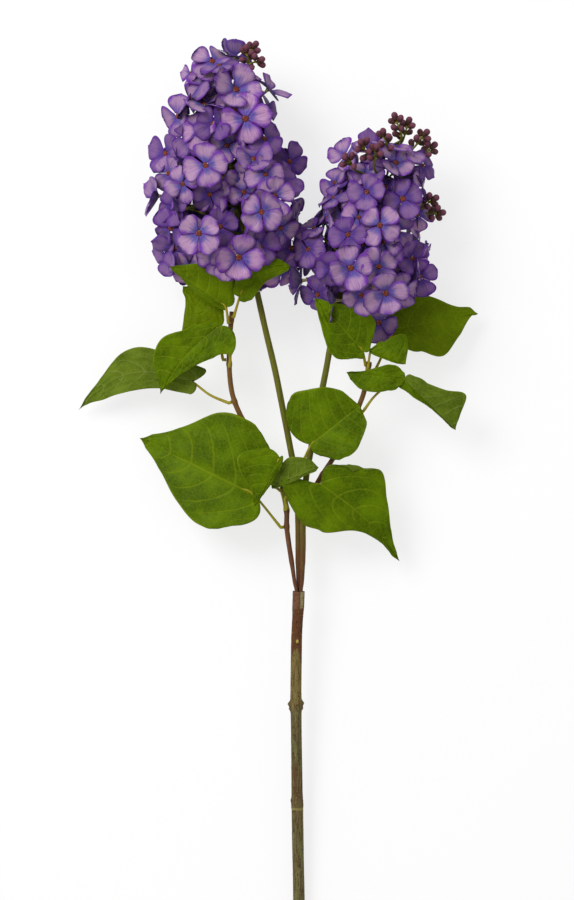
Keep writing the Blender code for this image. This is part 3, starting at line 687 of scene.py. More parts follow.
stemRule = {"gap": 0.3, "foot": 1.5, "sides": 20, "steps": 230, "forkSteps": 110, "uneven": 0.05,
            "jointLength": 1.9,
            "flower": {"radius": 2.4, "swelling": 0.2, "finish": "flowerStem", "slot": "green_stem"},
            "leafy": {"radius": 1.95, "swelling": 0.42, "finish": "twig", "slot": "twig"}}
thinStems = {
    "flower_stem_left": dict(
        joints=(93,),
        path=((0.5, -11.4, -2), (0.9, 0, -2), (0.75, 7, -2.3), (0.75, 19, -2.3), (0.75, 36.5, -2.1),
              (0.6, 52, -2.1), (0.1, 66, -1.3), (-1, 84, 0), (-5.4, 108, 0), (-10.9, 136.5, 0),
              (-16.9, 166.5, 0), (-24, 196.5, 0), (-30.4, 225, 0))),
    "flower_stem_right": dict(
        joints=(75,),
        path=((2.2, -11.4, 1), (2.6, 0, 1), (3.3, 7, 1.4), (3.6, 19, 2), (4, 36.5, 2.1), (4, 50, 2.1),
              (5, 66, 1.4), (6.3, 84, 0.4), (10, 106.5, 0), (15.4, 136.5, 0), (21.4, 166.5, 0),
              (26.6, 196.5, 0), (32.6, 225, 0))),
    "leafy_twig_left": dict(
        joints=(49, 61, 76, 90, 143, 171, 204),
        path=((-1.2, -11.4, 1), (-0.8, 0, 1), (-2.2, 7, 1), (-3.9, 19, 0.5), (-6.6, 36.5, 0), (-8.1, 49, 0),
              (-8.2, 61, 0), (-10.4, 73, -1), (-14, 88, -2), (-22.5, 103, -2), (-33, 118, -1.5),
              (-42, 131, 0), (-48.5, 147, 1), (-51, 165, 1), (-51, 187, 2), (-49, 210, 3))),
    "leafy_twig_right": dict(
        fork=("flower_stem_right", 75), joints=(88, 137, 162, 170),
        path=((15.4, 82.5, 0), (22, 93, 0), (27.4, 101.5, 0), (37, 121.5, 1), (45.4, 138, 2), (50.6, 153, 3),
              (53.6, 172.5, 4))),
}
internode = {"from": 60.5, "to": 77, "over": 0.12, "sides": 18}


def stemPlaces(name):
    return [(x, y, slopeHeight(y) + lift) for x, y, lift in thinStems[name]["path"]]


def stemRadius(name, y):
    # the foot in the bore is thin, and the right twig has no foot
    full, foot = stemRule[name.split("_")[0]]["radius"], stemRule["foot"]
    if "fork" in thinStems[name]:
        return full
    return between(((-12, foot), (1, foot), (10, 0.75 * full + 0.1), (24, full), (230, full)), y)


def seatOn(name, y, toward):
    # where a stalk stands on a stem's side, and its way out from there
    path = smoothPath(stemPlaces(name), 200)
    step = min(range(1, len(path) - 1), key=lambda number: abs(path[number].y - y))
    along = (path[step + 1] - path[step - 1]).normalized()
    out = Vector(toward) - path[step]
    out = (out - along * out.dot(along)).normalized()
    return path[step] + out * (stemRadius(name, y) + stemRule["gap"]), out


def makeThinStem(name):
    stem, places = thinStems[name], stemPlaces(name)
    looks = stemRule[name.split("_")[0]]
    if "fork" in stem:
        seat, out = seatOn(*stem["fork"], places[0])
        path = [seat + out * 0.1, *smoothPath([seat + out * 3, *places], stemRule["forkSteps"])]
    else:
        path = smoothPath(places, stemRule["steps"])
    radii = []
    for point in path:
        radius = stemRadius(name, point.y)
        radius *= 1 + stemRule["uneven"] * noise.noise(Vector((point.y * 0.12, point.x * 0.1, 7.0)))
        for joint in stem["joints"]:
            radius += looks["swelling"] * exp(-((point.y - joint) / stemRule["jointLength"]) ** 2)
        radii.append(radius * (0.97 if point.y > 20 else 0.93))
    piece = grownTwigs(camel(name), [(path, radii)], stemRule["sides"], looks["finish"])
    claimed(piece, looks["slot"], name)
    return path, radii


def makeInternode(settings, path, radii):
    # yellow-green tape round the left twig between its two low joints
    chosen = [(point, radius + settings["over"]) for point, radius in zip(path, radii)
              if settings["from"] < point.y < settings["to"]]
    line = [point for point, _ in chosen], [radius for _, radius in chosen]
    claimed(grownTwigs("greenInternode", [line], settings["sides"], "internode"), "twig")


stemLines = {name: makeThinStem(name) for name in thinStems}
makeInternode(internode, *stemLines["leafy_twig_left"])
print("thin stems made")

# Flower heads

heads = {
    "panicle_left": dict(
        florets=38, spread=19.5, seed=15, extra=40, shown=18.8,
        line=((-50, 233, 48), (-53, 275, 50), (-55, 317, 52), (-56, 360, 55), (-54, 402, 58)),
        girth=((0, 35), (0.15, 43), (0.38, 48), (0.58, 40), (0.75, 29), (0.9, 20), (1, 11)),
        stalk=((-30.4, 225), (-35.6, 252), (-43, 283), (-49, 313), (-51, 340), (-48, 372), (-45, 392)),
        sprigs=(((-36, 400, 62), (0.5, 0.8, 0.2), 5), ((-37, 396, 68), (-0.1, 0.9, 0.5), 5),
                ((-34, 393, 70), (0.7, 0.2, 0.5), 4)),
        openings=((-50, 318, 45, 15), (-50, 272, 45, 13)),
        front=((-64, 398, -0.1, 0.6, 1, 1), (-46, 377, 0.1, 0.25, 1, 0.9), (-39, 355, 0.1, 0.1, 1.08, 1.05),
               (-63, 351, -0.15, -0.1, 0.85, 0.85), (-25, 340, 0.45, 0.35, 0.85, 0.95),
               (-33, 325, 0.1, 0.5, 0.85, 0.8), (-6, 323, 0.6, 0, 0.85, 1), (-69, 320, -0.1, 0.1, 0.95, 1.1),
               (-24, 313, 0.1, 0.2, 0.85, 1.05), (-86, 306, -0.5, 0, 0.85, 0.9),
               (-40, 300, -0.1, -0.2, 0.85, 0.6), (-17, 297, 0.2, 0, 0.9, 1.1),
               (-27, 285, 0.05, -0.1, 0.95, 1.1), (-95, 273, -0.35, -0.1, 0.95, 1),
               (-74, 269, -0.2, -0.1, 0.95, 1.1), (-44, 251, 0, -0.2, 1, 1), (-4, 258, 0.4, -0.1, 0.95, 0.8),
               (-80, 389, -0.6, 0.3, 0.75, 0.8), (-90, 357, -0.75, 0, 0.95, 0.6),
               (-99, 329, -0.6, 0.2, 0.9, 0.6), (-105, 297, -0.9, 0, 0.9, 0.5),
               (-4, 294, 0.8, -0.1, 0.85, 0.6), (-2, 279, 0.8, -0.3, 0.85, 0.5),
               (-12, 241, 0.25, -0.5, 1, 0.1), (-80, 243, -0.25, -0.6, 0.95, 0.2),
               (-97, 251, -0.85, -0.3, 0.9, 0.3), (-22, 377, 0.6, 0.55, 0.85, 0.7),
               (-24, 364, 0.85, 0.2, 0.8, 0.5), (-70, 379, -0.2, 0, 0.9, 0.5),
               (-70, 366, -0.1, 0.85, 1, 0.9), (-97, 314, -0.7, -0.1, 0.85, 0.6),
               (-58, 274, -0.1, 0.1, 0.85, 0.55), (-13, 273, 0.4, -0.2, 0.9, 0.8),
               (-66, 298, -0.1, -0.3, 0.8, 0.6), (-93, 289, -0.6, 0.1, 0.85, 0.7),
               (-60, 251, -0.1, -0.3, 0.9, 0.6), (-53, 335, 0.1, 0.1, 0.8, 0.5),
               (-13, 309, 0.7, 0.3, 0.85, 0.7), (-92, 258, -0.4, -0.3, 0.85, 0.5),
               (-80, 340, -0.3, 0.3, 0.85, 0.5), (-28, 259, 0.2, -0.1, 0.85, 0.6))),
    "panicle_right": dict(
        florets=32, spread=17.5, seed=7, extra=36, shown=16.4,
        line=((49, 211, 47), (47, 245, 48), (50, 280, 50), (60, 310, 52), (72, 334, 54)),
        girth=((0, 40), (0.15, 47), (0.3, 44), (0.5, 36), (0.7, 29), (0.85, 20), (1, 11)),
        stalk=((32.6, 225), (39, 256), (48, 290), (62, 320), (71, 334)),
        sprigs=(((80, 343, 58), (0.3, 0.9, 0.1), 6), ((95, 328, 52), (0.7, 0.6, 0.1), 5),
                ((99, 283, 48), (1, 0.1, 0.1), 5), ((50, 327, 84), (-0.4, 0.6, 0.7), 6),
                ((65, 334, 72), (-0.2, 0.8, 0.5), 7), ((75, 346, 62), (-0.3, 0.9, 0.1), 6),
                ((90, 336, 56), (0.6, 0.7, 0.1), 6), ((95, 290, 52), (0.9, 0.5, 0.2), 5),
                ((40, 317, 76), (-0.5, 0.5, 0.6), 5), ((57, 322, 84), (0.1, 0.7, 0.6), 5)),
        openings=((60, 316, 45, 6), (92, 207, 0, 19)),
        front=((74, 322, 0.3, 0.35, 0.95, 1), (52, 300, -0.1, 0.15, 0.95, 1),
               (79, 295, 0.15, 0.1, 1.08, 1.1), (27, 296, -0.4, 0.55, 0.9, 0.9),
               (46, 281, -0.2, 0, 0.9, 0.8), (62, 275, 0, 0, 1.08, 1.1), (38, 268, -0.3, 0, 0.95, 1),
               (76, 271, 0.25, 0, 0.9, 0.75), (90, 268, 0.8, 0, 0.9, 0.6), (8, 257, -0.35, 0.1, 0.95, 0.7),
               (40, 243, -0.1, -0.05, 1.12, 1.1), (61, 244, 0.05, -0.2, 1, 1.1),
               (68, 254, 0.1, 0.3, 0.85, 0.8), (25, 243, -0.4, -0.1, 0.9, 0.8),
               (92, 236, 0.5, -0.1, 0.95, 0.8), (66, 224, 0.1, -0.3, 1.08, 1),
               (15, 223, -0.35, -0.3, 0.95, 0.2), (61, 202, 0, -0.6, 1, -0.1),
               (36, 328, -0.45, 0.6, 0.95, 0.7), (94, 320, 0.8, 0.2, 0.8, 0.4),
               (93, 306, 0.85, 0.2, 0.85, 0.4), (28, 307, -0.55, 0.3, 0.95, 0.5),
               (22, 280, -0.85, 0, 0.9, 0.5), (12, 273, -0.5, 0.65, 0.9, 0.4), (49, 261, 0, -0.1, 0.9, 0.75),
               (54, 331, 0, 0.8, 1, 0.9), (50, 313, -0.1, 0.7, 0.95, 0.9), (86, 250, 0.5, 0.1, 0.95, 0.7),
               (34, 281, -0.4, 0.1, 0.9, 0.55), (90, 283, 0.7, 0.2, 0.85, 0.6),
               (79, 226, 0.35, -0.4, 0.9, 0.5), (48, 222, -0.1, -0.5, 0.9, 0.3),
               (66, 304, 0.1, 0.5, 0.9, 0.7), (27, 237, -0.2, -0.4, 0.9, 0.4),
               (64, 262, 0.1, 0.2, 0.9, 0.8))),
}
headRule = {
    "tiers": (0.05, 0.2, 0.35, 0.5, 0.65, 0.8), "goldenTurn": radians(137.5), "petals": 4, "innerTurn": 1.2,
    "clearings": ((52, 198, 62, 26), (96, 203, 22, 32), (-78, 232, 64, 31), (-24, 236, 66, 31)),
    "tubeLength": 11.0, "tubeEnd": 12.0, "apart": 13.0, "sideways": 0.35,
    # how far out florets stand as shares of the head's girth: every third one, and the deeper ones
    "third": 0.74, "deep": (0.5, 0.78), "deepSize": (0.8, 0.95),
    # points of a petal that show how low it hangs, as shares of its length and of the spread
    "corners": ((0.5, 0.44), (0.5, -0.44), (0.97, 0.2), (0.97, -0.2)),
}
# the camera's place over the spray, and the plane that the places in the photo are measured in
cameraRule = {"x": -7.9, "y": 106.5, "height": 2440.0, "plane": 40.0}
petalForm = {
    "kinds": 14, "spread": 19.5, "thickness": 0.24, "columns": 8, "seed": 21, "root": 2.1,
    "cupFrom": -0.12, "cupRange": 0.56,
    "rows": (0.0, 0.1, 0.22, 0.35, 0.48, 0.6, 0.72, 0.82, 0.9, 0.96, 1.0),
    "widths": ((0.0, 0.11), (0.15, 0.24), (0.35, 0.43), (0.55, 0.52), (0.72, 0.52), (0.85, 0.44), (0.94, 0.3),
               (1.0, 0.06)),
}


def petalPoints(settings, draw, arm, cup):
    # (reach, over, height, s, t) for each point in the middle of one bent and ruffled petal
    turn = pi / 2 * arm + draw.uniform(-0.16, 0.16)
    slope = cup + draw.uniform(-0.4, 0.4)
    twist = draw.uniform(-0.42, 0.42)
    spread, root = settings["spread"], settings["root"]
    length = spread * draw.uniform(0.86, 1.04)
    fullness = draw.uniform(0.84, 1.04)
    curl = draw.uniform(-1.6, 1.3)
    droop = draw.uniform(0.0, 0.16)
    phase = draw.uniform(0, 6.3)
    hollow = draw.uniform(0.04, 0.16)
    middles = []
    for t in settings["rows"]:
        for column in range(settings["columns"] + 1):
            s = 2 * column / settings["columns"] - 1
            reach = root + (length - root) * t
            reach -= 0.05 * spread * s * s * t * t  # the tip is rounded
            over = s * spread * fullness * between(settings["widths"], t)
            height = slope * (reach - 3) + twist * over - droop * spread * t ** 3
            height += hollow * over * over / spread * 2
            height += curl * abs(s) ** 3 * 2.2 * t + 0.55 * sin(6 * t + 4 * s + phase) * t
            height += 0.35 * sin(9 * s + 2 * phase) * t * t
            height -= 0.7 * exp(-(s / 0.2) ** 2) * sin(pi * min(t * 1.1, 1.0))
            height += 0.35 * cos(7 * s + phase) * sin(pi * t)
            middles.append((reach, over, height + 0.3, s, t))
    return turn, middles


def petalShapes(settings):
    # florets' petals in several poses: cupped, flat and bent back
    draw = random.Random(settings["seed"])
    half = settings["thickness"] / 2
    shapes = []
    for kind in range(settings["kinds"]):
        cup = settings["cupFrom"] + settings["cupRange"] * kind / (settings["kinds"] - 1)
        points, faces, spots = [], [], []
        for arm in range(4):
            turn, middles = petalPoints(settings, draw, arm, cup)
            faces += slab(len(settings["rows"]) - 1, settings["columns"], len(points))
            for side, offset in ((0.0, half), (1.0, -half)):
                for reach, over, height, s, t in middles:
                    points.append((reach * cos(turn) - over * sin(turn), reach * sin(turn) + over * cos(turn),
                                   height + offset))
                    spots.append((s, t, side))
        shapes.append((points, faces, spots))
    return shapes


def turnedShape(profile, sides, lobes=0, lobeDepth=0.0):
    # a small turned form: profile is [(height, radius)], with lobes round it if asked
    points, spots = [], []
    low, high = profile[0][0], profile[-1][0]
    for height, radius in profile:
        for corner in range(sides):
            turn = 2 * pi * corner / sides
            wave = 1 + lobeDepth * cos(lobes * turn)
            points.append((radius * wave * cos(turn), radius * wave * sin(turn), height))
            spots.append((turn, (height - low) / (high - low), 0.0))
    caps = [tuple(reversed(range(sides))), tuple(range(len(points) - sides, len(points)))]
    return points, bands(len(profile), sides) + caps, spots


turnedParts = {
    "eyes": (((-0.6, 2.2), (0.3, 2.35), (0.95, 1.8), (1.25, 1.1), (0.95, 0.55), (0.7, 0.2)), 16, 4, 0.16),
    "tubes": (((-12.4, 0.75), (-11.4, 1.3), (-10.4, 1.45), (-9.6, 1.15), (-5, 1.2), (-1.8, 1.5),
               (0.0, 2.3)), 12),
    "buds": (((-3.2, 0.7), (-2.6, 1.5), (-1.4, 1.95), (0.2, 2.3), (1.5, 2.2), (2.6, 1.6), (3.1, 0.8),
              (3.25, 0.2)), 16, 4, 0.09),
    "budCups": (((-3.9, 0.6), (-3.3, 1.3), (-2.3, 1.85), (-1.6, 2.0), (-1.7, 1.5)), 12, 4, 0.1),
}
bins = {name: partsBin(name, [turnedShape(*part)]) for name, part in turnedParts.items()}
bins["petals"] = partsBin("petals", petalShapes(petalForm))


def headLine(head, share):
    # the middle of the head at a share of its length
    line = head["line"]
    shares = [number / (len(line) - 1) for number in range(len(line))]
    return Vector([between([*zip(shares, values)], share) for values in zip(*line)])


def headFrame(head):
    along = (Vector(head["line"][-1]) - Vector(head["line"][0])).normalized()
    across = (Vector((1, 0, 0)) - along * along.x).normalized()
    return along, across, along.cross(across)


def headBranches(head):
    # the stalk's points, and the start, middle and end of the crossed pairs of side branches
    along, across, side = headFrame(head)
    stalk = smoothPath([(x, y, slopeHeight(y)) for x, y in head["stalk"]], 40)
    arms = []
    for tier, share in enumerate(headRule["tiers"]):
        for arm in range(4):
            start = stalk[int(40 * share) + arm]
            turn = pi / 2 * arm + pi / 4 * tier
            out = across * cos(turn) + side * sin(turn)
            end = headLine(head, min(share + 0.1, 1.0)) + out * 0.5 * between(head["girth"], share)
            end.z = max(end.z, 12.0)
            arms.append([start, start.lerp(end, 0.5) - along * 3, end])
    return stalk, arms


def evenShares(head, count, steps=200):
    # places along the head that share its surface evenly
    reach = [between(head["girth"], (step + 0.5) / steps) + 6 for step in range(steps)]
    whole = sum(reach)
    shares, passed, step = [], 0.0, 0
    for number in range(count):
        target = whole * (number + 0.5) / count
        while passed + reach[step] < target:
            passed += reach[step]
            step += 1
        shares.append((step + 0.5) / steps)
    return shares


def pushedClear(place):
    # up and out of the room that the leaves in front need
    for x, y, z, radius in headRule["clearings"]:
        away = place - Vector((x, y, z))
        if away.length < radius:
            away.y = abs(away.y)
            place = Vector((x, y, z)) + away.normalized() * radius
    return place


def seenPlace(head, x, y, depth):
    # where the camera's ray through (x, y) of the stems' plane meets the near side of the head
    foot, top = Vector(head["line"][0]), Vector(head["line"][-1])
    way = (top - foot).xy
    share = min(max((Vector((x, y)) - foot.xy).dot(way) / way.length_squared, 0.0), 1.0)
    middle = headLine(head, share)
    girth = between(head["girth"], share)
    z = middle.z + depth * sqrt(max(girth ** 2 - (x - middle.x) ** 2, 0.0))
    nearer = (cameraRule["height"] - z) / (cameraRule["height"] - cameraRule["plane"])
    return Vector((cameraRule["x"] + (x - cameraRule["x"]) * nearer,
                   cameraRule["y"] + (y - cameraRule["y"]) * nearer, z))


def floretAxes(facing, spin):
    first = Matrix.Rotation(spin, 3, facing) @ facing.orthogonal().normalized()
    return first, facing.cross(first), facing


def nearJoint(joints, place, facing, along):
    # the joint that a floret's stalk leaves from, rather under the floret than over it
    tubeEnd = place - facing * headRule["tubeEnd"]
    return min(joints, key=lambda spot: (spot - tubeEnd).length + 0.4 * (spot - place).dot(along))


def lowestPoint(place, axes, petals, spread):
    # how far the petals would reach under the table, or 0
    first, second, facing = axes
    lowest = 0.0
    for arm, (slope, twist, length, swing) in enumerate(petals):
        angle = pi / 2 * arm + swing
        flat = first * cos(angle) + second * sin(angle)
        beside = second * cos(angle) - first * sin(angle)
        for reach, over in headRule["corners"]:
            reach *= spread * length
            over *= spread
            corner = place + flat * reach + beside * over + facing * (slope * (reach - 3) + twist * over)
            lowest = min(lowest, corner.z)
    return lowest


def frontFlorets(head, joints, more):
    # florets placed as the photo shows them: (place, matrix, size, kind, tint, facing, joint)
    along = headFrame(head)[0]
    florets = []
    for x, y, leanX, leanY, size, depth in head["front"]:
        place = seenPlace(head, x, y, depth)
        leanX += more.uniform(-0.16, 0.16)
        leanY += more.uniform(-0.16, 0.16)
        facing = Vector((leanX, leanY, sqrt(max(1 - leanX ** 2 - leanY ** 2, 0.04)))).normalized()
        axes = floretAxes(facing, more.uniform(0, pi / 2))
        florets.append((place, Matrix(axes).transposed(), size * head["shown"] / petalForm["spread"],
                        more.randrange(petalForm["kinds"]), more.random(), facing,
                        nearJoint(joints, place, facing, along)))
    return florets


def floretPlan(head, joints):
    # the florets in front, then the solids' own seeded ones on the sides and the back, then
    # seeded deeper ones between them
    along, across, side = headFrame(head)
    draw, more = random.Random(head["seed"]), random.Random(head["seed"] + 100)
    plan = frontFlorets(head, joints, more)
    shown = [floret[0] for floret in plan]
    outer = [(share, number, draw) for number, share in enumerate(evenShares(head, head["florets"]))]
    inner = [(share, number, more) for number, share in enumerate(evenShares(head, head["extra"]))]
    last = petalForm["kinds"] - 1
    for share, number, draws in outer + inner:
        deep = draws is more
        turn = headRule["goldenTurn"] * number + draws.uniform(-0.25, 0.25)
        turn += headRule["innerTurn"] if deep else 0.0
        out = across * cos(turn) + side * sin(turn)
        depth = headRule["third"] if number % 3 == 2 else 1.0
        if deep:
            depth = more.uniform(*headRule["deep"])
        place = headLine(head, share) + out * between(head["girth"], share) * depth
        # they hang at the foot of the head and point up at its top
        lean = radians(-22 + 95 * share ** 1.6)
        facing = out * cos(lean) + along * sin(lean)
        facing += Vector([draws.uniform(-0.25, 0.25) for _ in range(3)])
        facing.normalize()
        cup = draws.uniform(-0.1, 0.4)
        petals = []
        for _ in range(headRule["petals"]):
            petals.append((cup + draws.uniform(-0.22, 0.22), draws.uniform(-0.25, 0.25),
                           draws.uniform(0.9, 1.06), draws.uniform(-0.12, 0.12)))
        spin = draws.uniform(0, pi / 2)
        place = pushedClear(place)
        joint = nearJoint(joints, place, facing, along)
        axes = floretAxes(facing, spin)
        place = place - Vector((0, 0, lowestPoint(place, axes, petals, head["spread"])))
        crowded = min((place - other).length for other in shown) < headRule["apart"]
        if not deep and (facing.z > headRule["sideways"] or crowded):
            continue
        if any(place.z > low and hypot(place.x - x, place.y - y) < radius
               for x, y, low, radius in head["openings"]):
            continue
        size = head["spread"] / petalForm["spread"] * (more.uniform(*headRule["deepSize"]) if deep else 1.0)
        kind = min(last, max(0, round((cup - petalForm["cupFrom"]) / petalForm["cupRange"] * last)))
        plan.append((place, Matrix(axes).transposed(), size, kind, more.random(), facing, joint))
    return plan


sprigForm = {"foot": 8, "top": 6, "tipBud": 9, "firstPair": 3, "pairGap": 5, "budOut": 5.5, "stalk": 3,
             "stalkGirth": 0.65}


def thinning(start, fall, steps):
    # girths that fall evenly along a twig
    return [start - fall * step / steps for step in range(steps + 1)]


def makeSprig(middle, way, count, joints, stalks, branches):
    # a branch with buds in crossed pairs and one on its tip
    middle, way = Vector(middle), Vector(way).normalized()
    joint = min(joints, key=lambda spot: (spot - middle).length)
    across = way.orthogonal().normalized()
    places = [joint, middle - way * sprigForm["foot"], middle + way * sprigForm["top"]]
    branches.append((smoothPath(places, 12), thinning(1.0, 0.4, 12)))
    buds = []
    for number in range(count):
        toward, centre = way, middle + way * sprigForm["tipBud"]
        if number:
            pair, hand = divmod(number - 1, 2)
            out = Matrix.Rotation(pi / 2 * pair + pi * hand, 3, way) @ across
            foot = middle + way * (sprigForm["firstPair"] - sprigForm["pairGap"] * pair)
            toward = (out + 0.7 * way).normalized()
            centre = foot + toward * sprigForm["budOut"]
            stalk = smoothPath([foot, foot + toward * sprigForm["stalk"]], 4)
            stalks.append((stalk, [sprigForm["stalkGirth"]] * len(stalk)))
        buds.append((centre, toward.to_track_quat("Z", "Y").to_matrix(), 1.0 - 0.03 * (number % 4), 0, 0.5))
    return buds


def makeHead(node, side):
    head = heads[node]
    stalk, arms = headBranches(head)
    plan = floretPlan(head, stalk[4::4] + [arm[1] for arm in arms] + [arm[2] for arm in arms])
    spots = [floret[:5] for floret in plan]
    single = [(place, matrix, size, 0, tint) for place, matrix, size, _, tint in spots]
    stalks = []
    for place, _, size, _, _, facing, joint in plan:
        end = place - facing * headRule["tubeLength"] * size
        middle = end - facing * 4
        path = smoothPath([end, middle, joint.lerp(middle, 0.3), joint], 10)
        stalks.append((path, [0.72 + 0.25 * abs(step / 5 - 1) ** 3 for step in range(11)]))
    start = stalk[0] + (stalk[1] - stalk[0]).normalized() * 0.3
    wood = smoothPath([start, *stalk[4::4]], 60)
    branches = [(wood, [between(((0, 2.3), (0.3, 1.8), (1, 1.0)), step / 60) for step in range(61)])]
    branches += [(smoothPath(arm, 12), thinning(1.25, 0.5, 12)) for arm in arms]
    joints = [arm[2] for arm in arms] + stalk[20::4]
    buds = [bud for sprig in head["sprigs"] for bud in makeSprig(*sprig, joints, stalks, branches)]
    claimed(scattered("petals" + side, spots, "petals", "petal"), "petal", node)
    for part, places, finish in (("eyes", single, "eye"), ("tubes", single, "tube"), ("buds", buds, "bud"),
                                 ("budCups", buds, "budCup")):
        claimed(scattered(part + side, places, part, finish), "petal")
    claimed(grownTwigs("floretStalks" + side, stalks, 8, "stalk"), "petal")
    claimed(grownTwigs("branches" + side, branches, 10, "branch"), "petal")


makeHead("panicle_left", "Left")
makeHead("panicle_right", "Right")
for collection in bins.values():
    for part in list(collection.objects):
        bpy.data.objects.remove(part, do_unlink=True)
    bpy.data.collections.remove(collection)
print("flower heads made")

# Leaves

leafRule = {"rows": 56, "columns": 36, "thickness": 0.5, "widthAt": (0.0, 0.25, 0.5, 0.75, 0.92),
            "shoulder": 0.42, "fullBase": 0.075, "puff": 0.8, "stalkSteps": 30,
            "ribSink": ((0.02, 0.9), (0.14, 1.25), (0.35, 1.0)),
            "stalkGirth": ((0, 1.25), (0.25, 0.95), (0.6, 0.85), (1, 0.3))}
# at is the place on the stem, way the stalk's places, and left and right the half widths
# the tone share is painted light: a pale colour over the whole blade of leaves in the heads' shadow
leaves = {
    "leaf_low_left": dict(
        stem="leafy_twig_left", at=49, base=(-31, 72, 38), tip=(-119.5, 115.5, 14),
        left=(30, 38.5, 30, 14, 5), right=(41, 48.5, 44, 20, 7), lobes=(9, 3), fold=(6, 6), arch=6,
        wave=1.6),
    "leaf_front_left": dict(
        stem="leafy_twig_left", at=90, base=(-13.5, 101, 58), tip=(-32, 64.5, 50), way=((-13.2, 99.5, 46),),
        left=(4, 5, 4, 2, 1), right=(20, 28, 22, 8, 3), lobes=(2, 3), fold=(-30, 6), arch=2, wave=0.7),
    "leaf_front_turned": dict(
        stem="leafy_twig_left", at=76, base=(-19, 80, 46), tip=(15.8, 93.5, 49), left=(9, 11, 15, 12, 7),
        right=(3, 3, 3, 2, 2), lobes=(2, 1), fold=(4, 8), arch=3, wave=0.7, turned=(True, True)),
    "leaf_middle": dict(
        stem="flower_stem_left", at=93, base=(9.8, 110.5, 47), tip=(46.8, 139.8, 47),
        left=(36, 38, 33.5, 27, 17), right=(13, 23, 24.5, 19, 13), lobes=(6, 2), fold=(5, 5), arch=2.5,
        wave=1),
    "leaf_low_right": dict(
        stem="leafy_twig_left", at=63, base=(17, 81, 43), tip=(77, 22.7, 20),
        way=((-8.5, 72, 40), (3, 81, 43)), left=(24, 36, 22.5, 8.3, 2.4), right=(31, 28, 11, 3.2, 2),
        lobes=(7, 24), fold=(6, 6), bow=4.5, arch=4, wave=2, lobePeak=1.15, dent=(0.13, 0.05, 0.16)),
    "leaf_pair_right": dict(
        stem="leafy_twig_right", at=137, base=(80, 159.5, 50), tip=(36.4, 164.6, 50),
        way=((57, 146, 43), (66, 153.5, 46)), left=(4, 10, 12.5, 11, 5), right=(5, 9.5, 6, 2, 1),
        lobes=(0, 0), fold=(3, 3), arch=1.5, wave=0.4, second=dict(base=(79, 160, 50),
        tip=(118.6, 121.5, 38), left=(6, 10, 16, 24, 8), right=(7, 5, 2, 1, 1), lobes=(0, 0), fold=(6, 3),
        arch=3, wave=0.7, turned=(True, False))),
    # its pale share is painted light, lifting the blade out of the right head's shadow
    "leaf_back_right": dict(
        stem="leafy_twig_right", at=162, base=(72, 197, 25), tip=(136.5, 209.6, 18), way=((61, 172, 38),),
        left=(18, 25, 19, 9, 6), right=(10, 20, 26.5, 13, 1), lobes=(5, 5), fold=(5, 5), arch=3, wave=1,
        tone=0.3),
    "leaf_top_right": dict(
        stem="leafy_twig_right", at=167, base=(54, 180.3, 52), tip=(80.6, 170.5, 54),
        left=(2, 10, 18, 20, 12), right=(1, 2, 2, 2, 1), lobes=(1, 0), fold=(6, 4), arch=1, wave=0.4),
    "leaf_top_middle": dict(
        stem="leafy_twig_right", at=170, base=(49, 180, 54), tip=(12, 220, 62), left=(8, 19, 15, 8, 3),
        right=(8, 22, 19, 9, 3), lobes=(4, 3), fold=(6, 6), arch=3, wave=0.8),
    "leaf_top_left": dict(
        stem="leafy_twig_left", at=202, base=(-53, 213, 56), tip=(-95.2, 243, 64), left=(6, 9, 8, 4, 2),
        right=(12, 24, 22, 12, 4), lobes=(2, 3), fold=(-55, 6), arch=2, wave=0.8, tone=0.2),
    "leaf_top_second": dict(
        stem="leafy_twig_left", at=207, base=(-43, 221, 60), tip=(-4.9, 243, 64), left=(9, 13, 12, 9, 5),
        right=(6, 11, 10, 8, 4), lobes=(3, 2), fold=(6, 6), bow=9, arch=2, wave=0.6, tone=0.15),
    "leaf_mid_left": dict(
        stem="leafy_twig_left", at=174, base=(-60, 199.5, 43), tip=(-86, 229.5, 42), left=(20, 24, 16, 6, 3),
        right=(8, 12, 12, 8, 3), lobes=(4, 2), fold=(4, 4), arch=1, wave=0.6, tone=0.35),
    "leaf_front_mid_left": dict(
        stem="leafy_twig_left", at=169, base=(-59, 199, 53), tip=(-103, 148.5, 40), way=((-51, 178, 50),),
        left=(22, 16, 10, 4, 1), right=(5, 14, 22, 18, 5), lobes=(5, 2), fold=(6, 6), bow=-4, arch=3,
        wave=1),
    "leaf_far_left": dict(
        stem="leafy_twig_left", at=143, base=(-78.4, 158, 33), tip=(-166, 137, 10), way=((-66, 148, 35),),
        left=(9, 11.5, 13, 9, 2), right=(14, 20, 17, 7, 3), lobes=(2, 12), fold=(4, 4), bow=-17, arch=4,
        wave=1.5, turned=(True, True)),
}


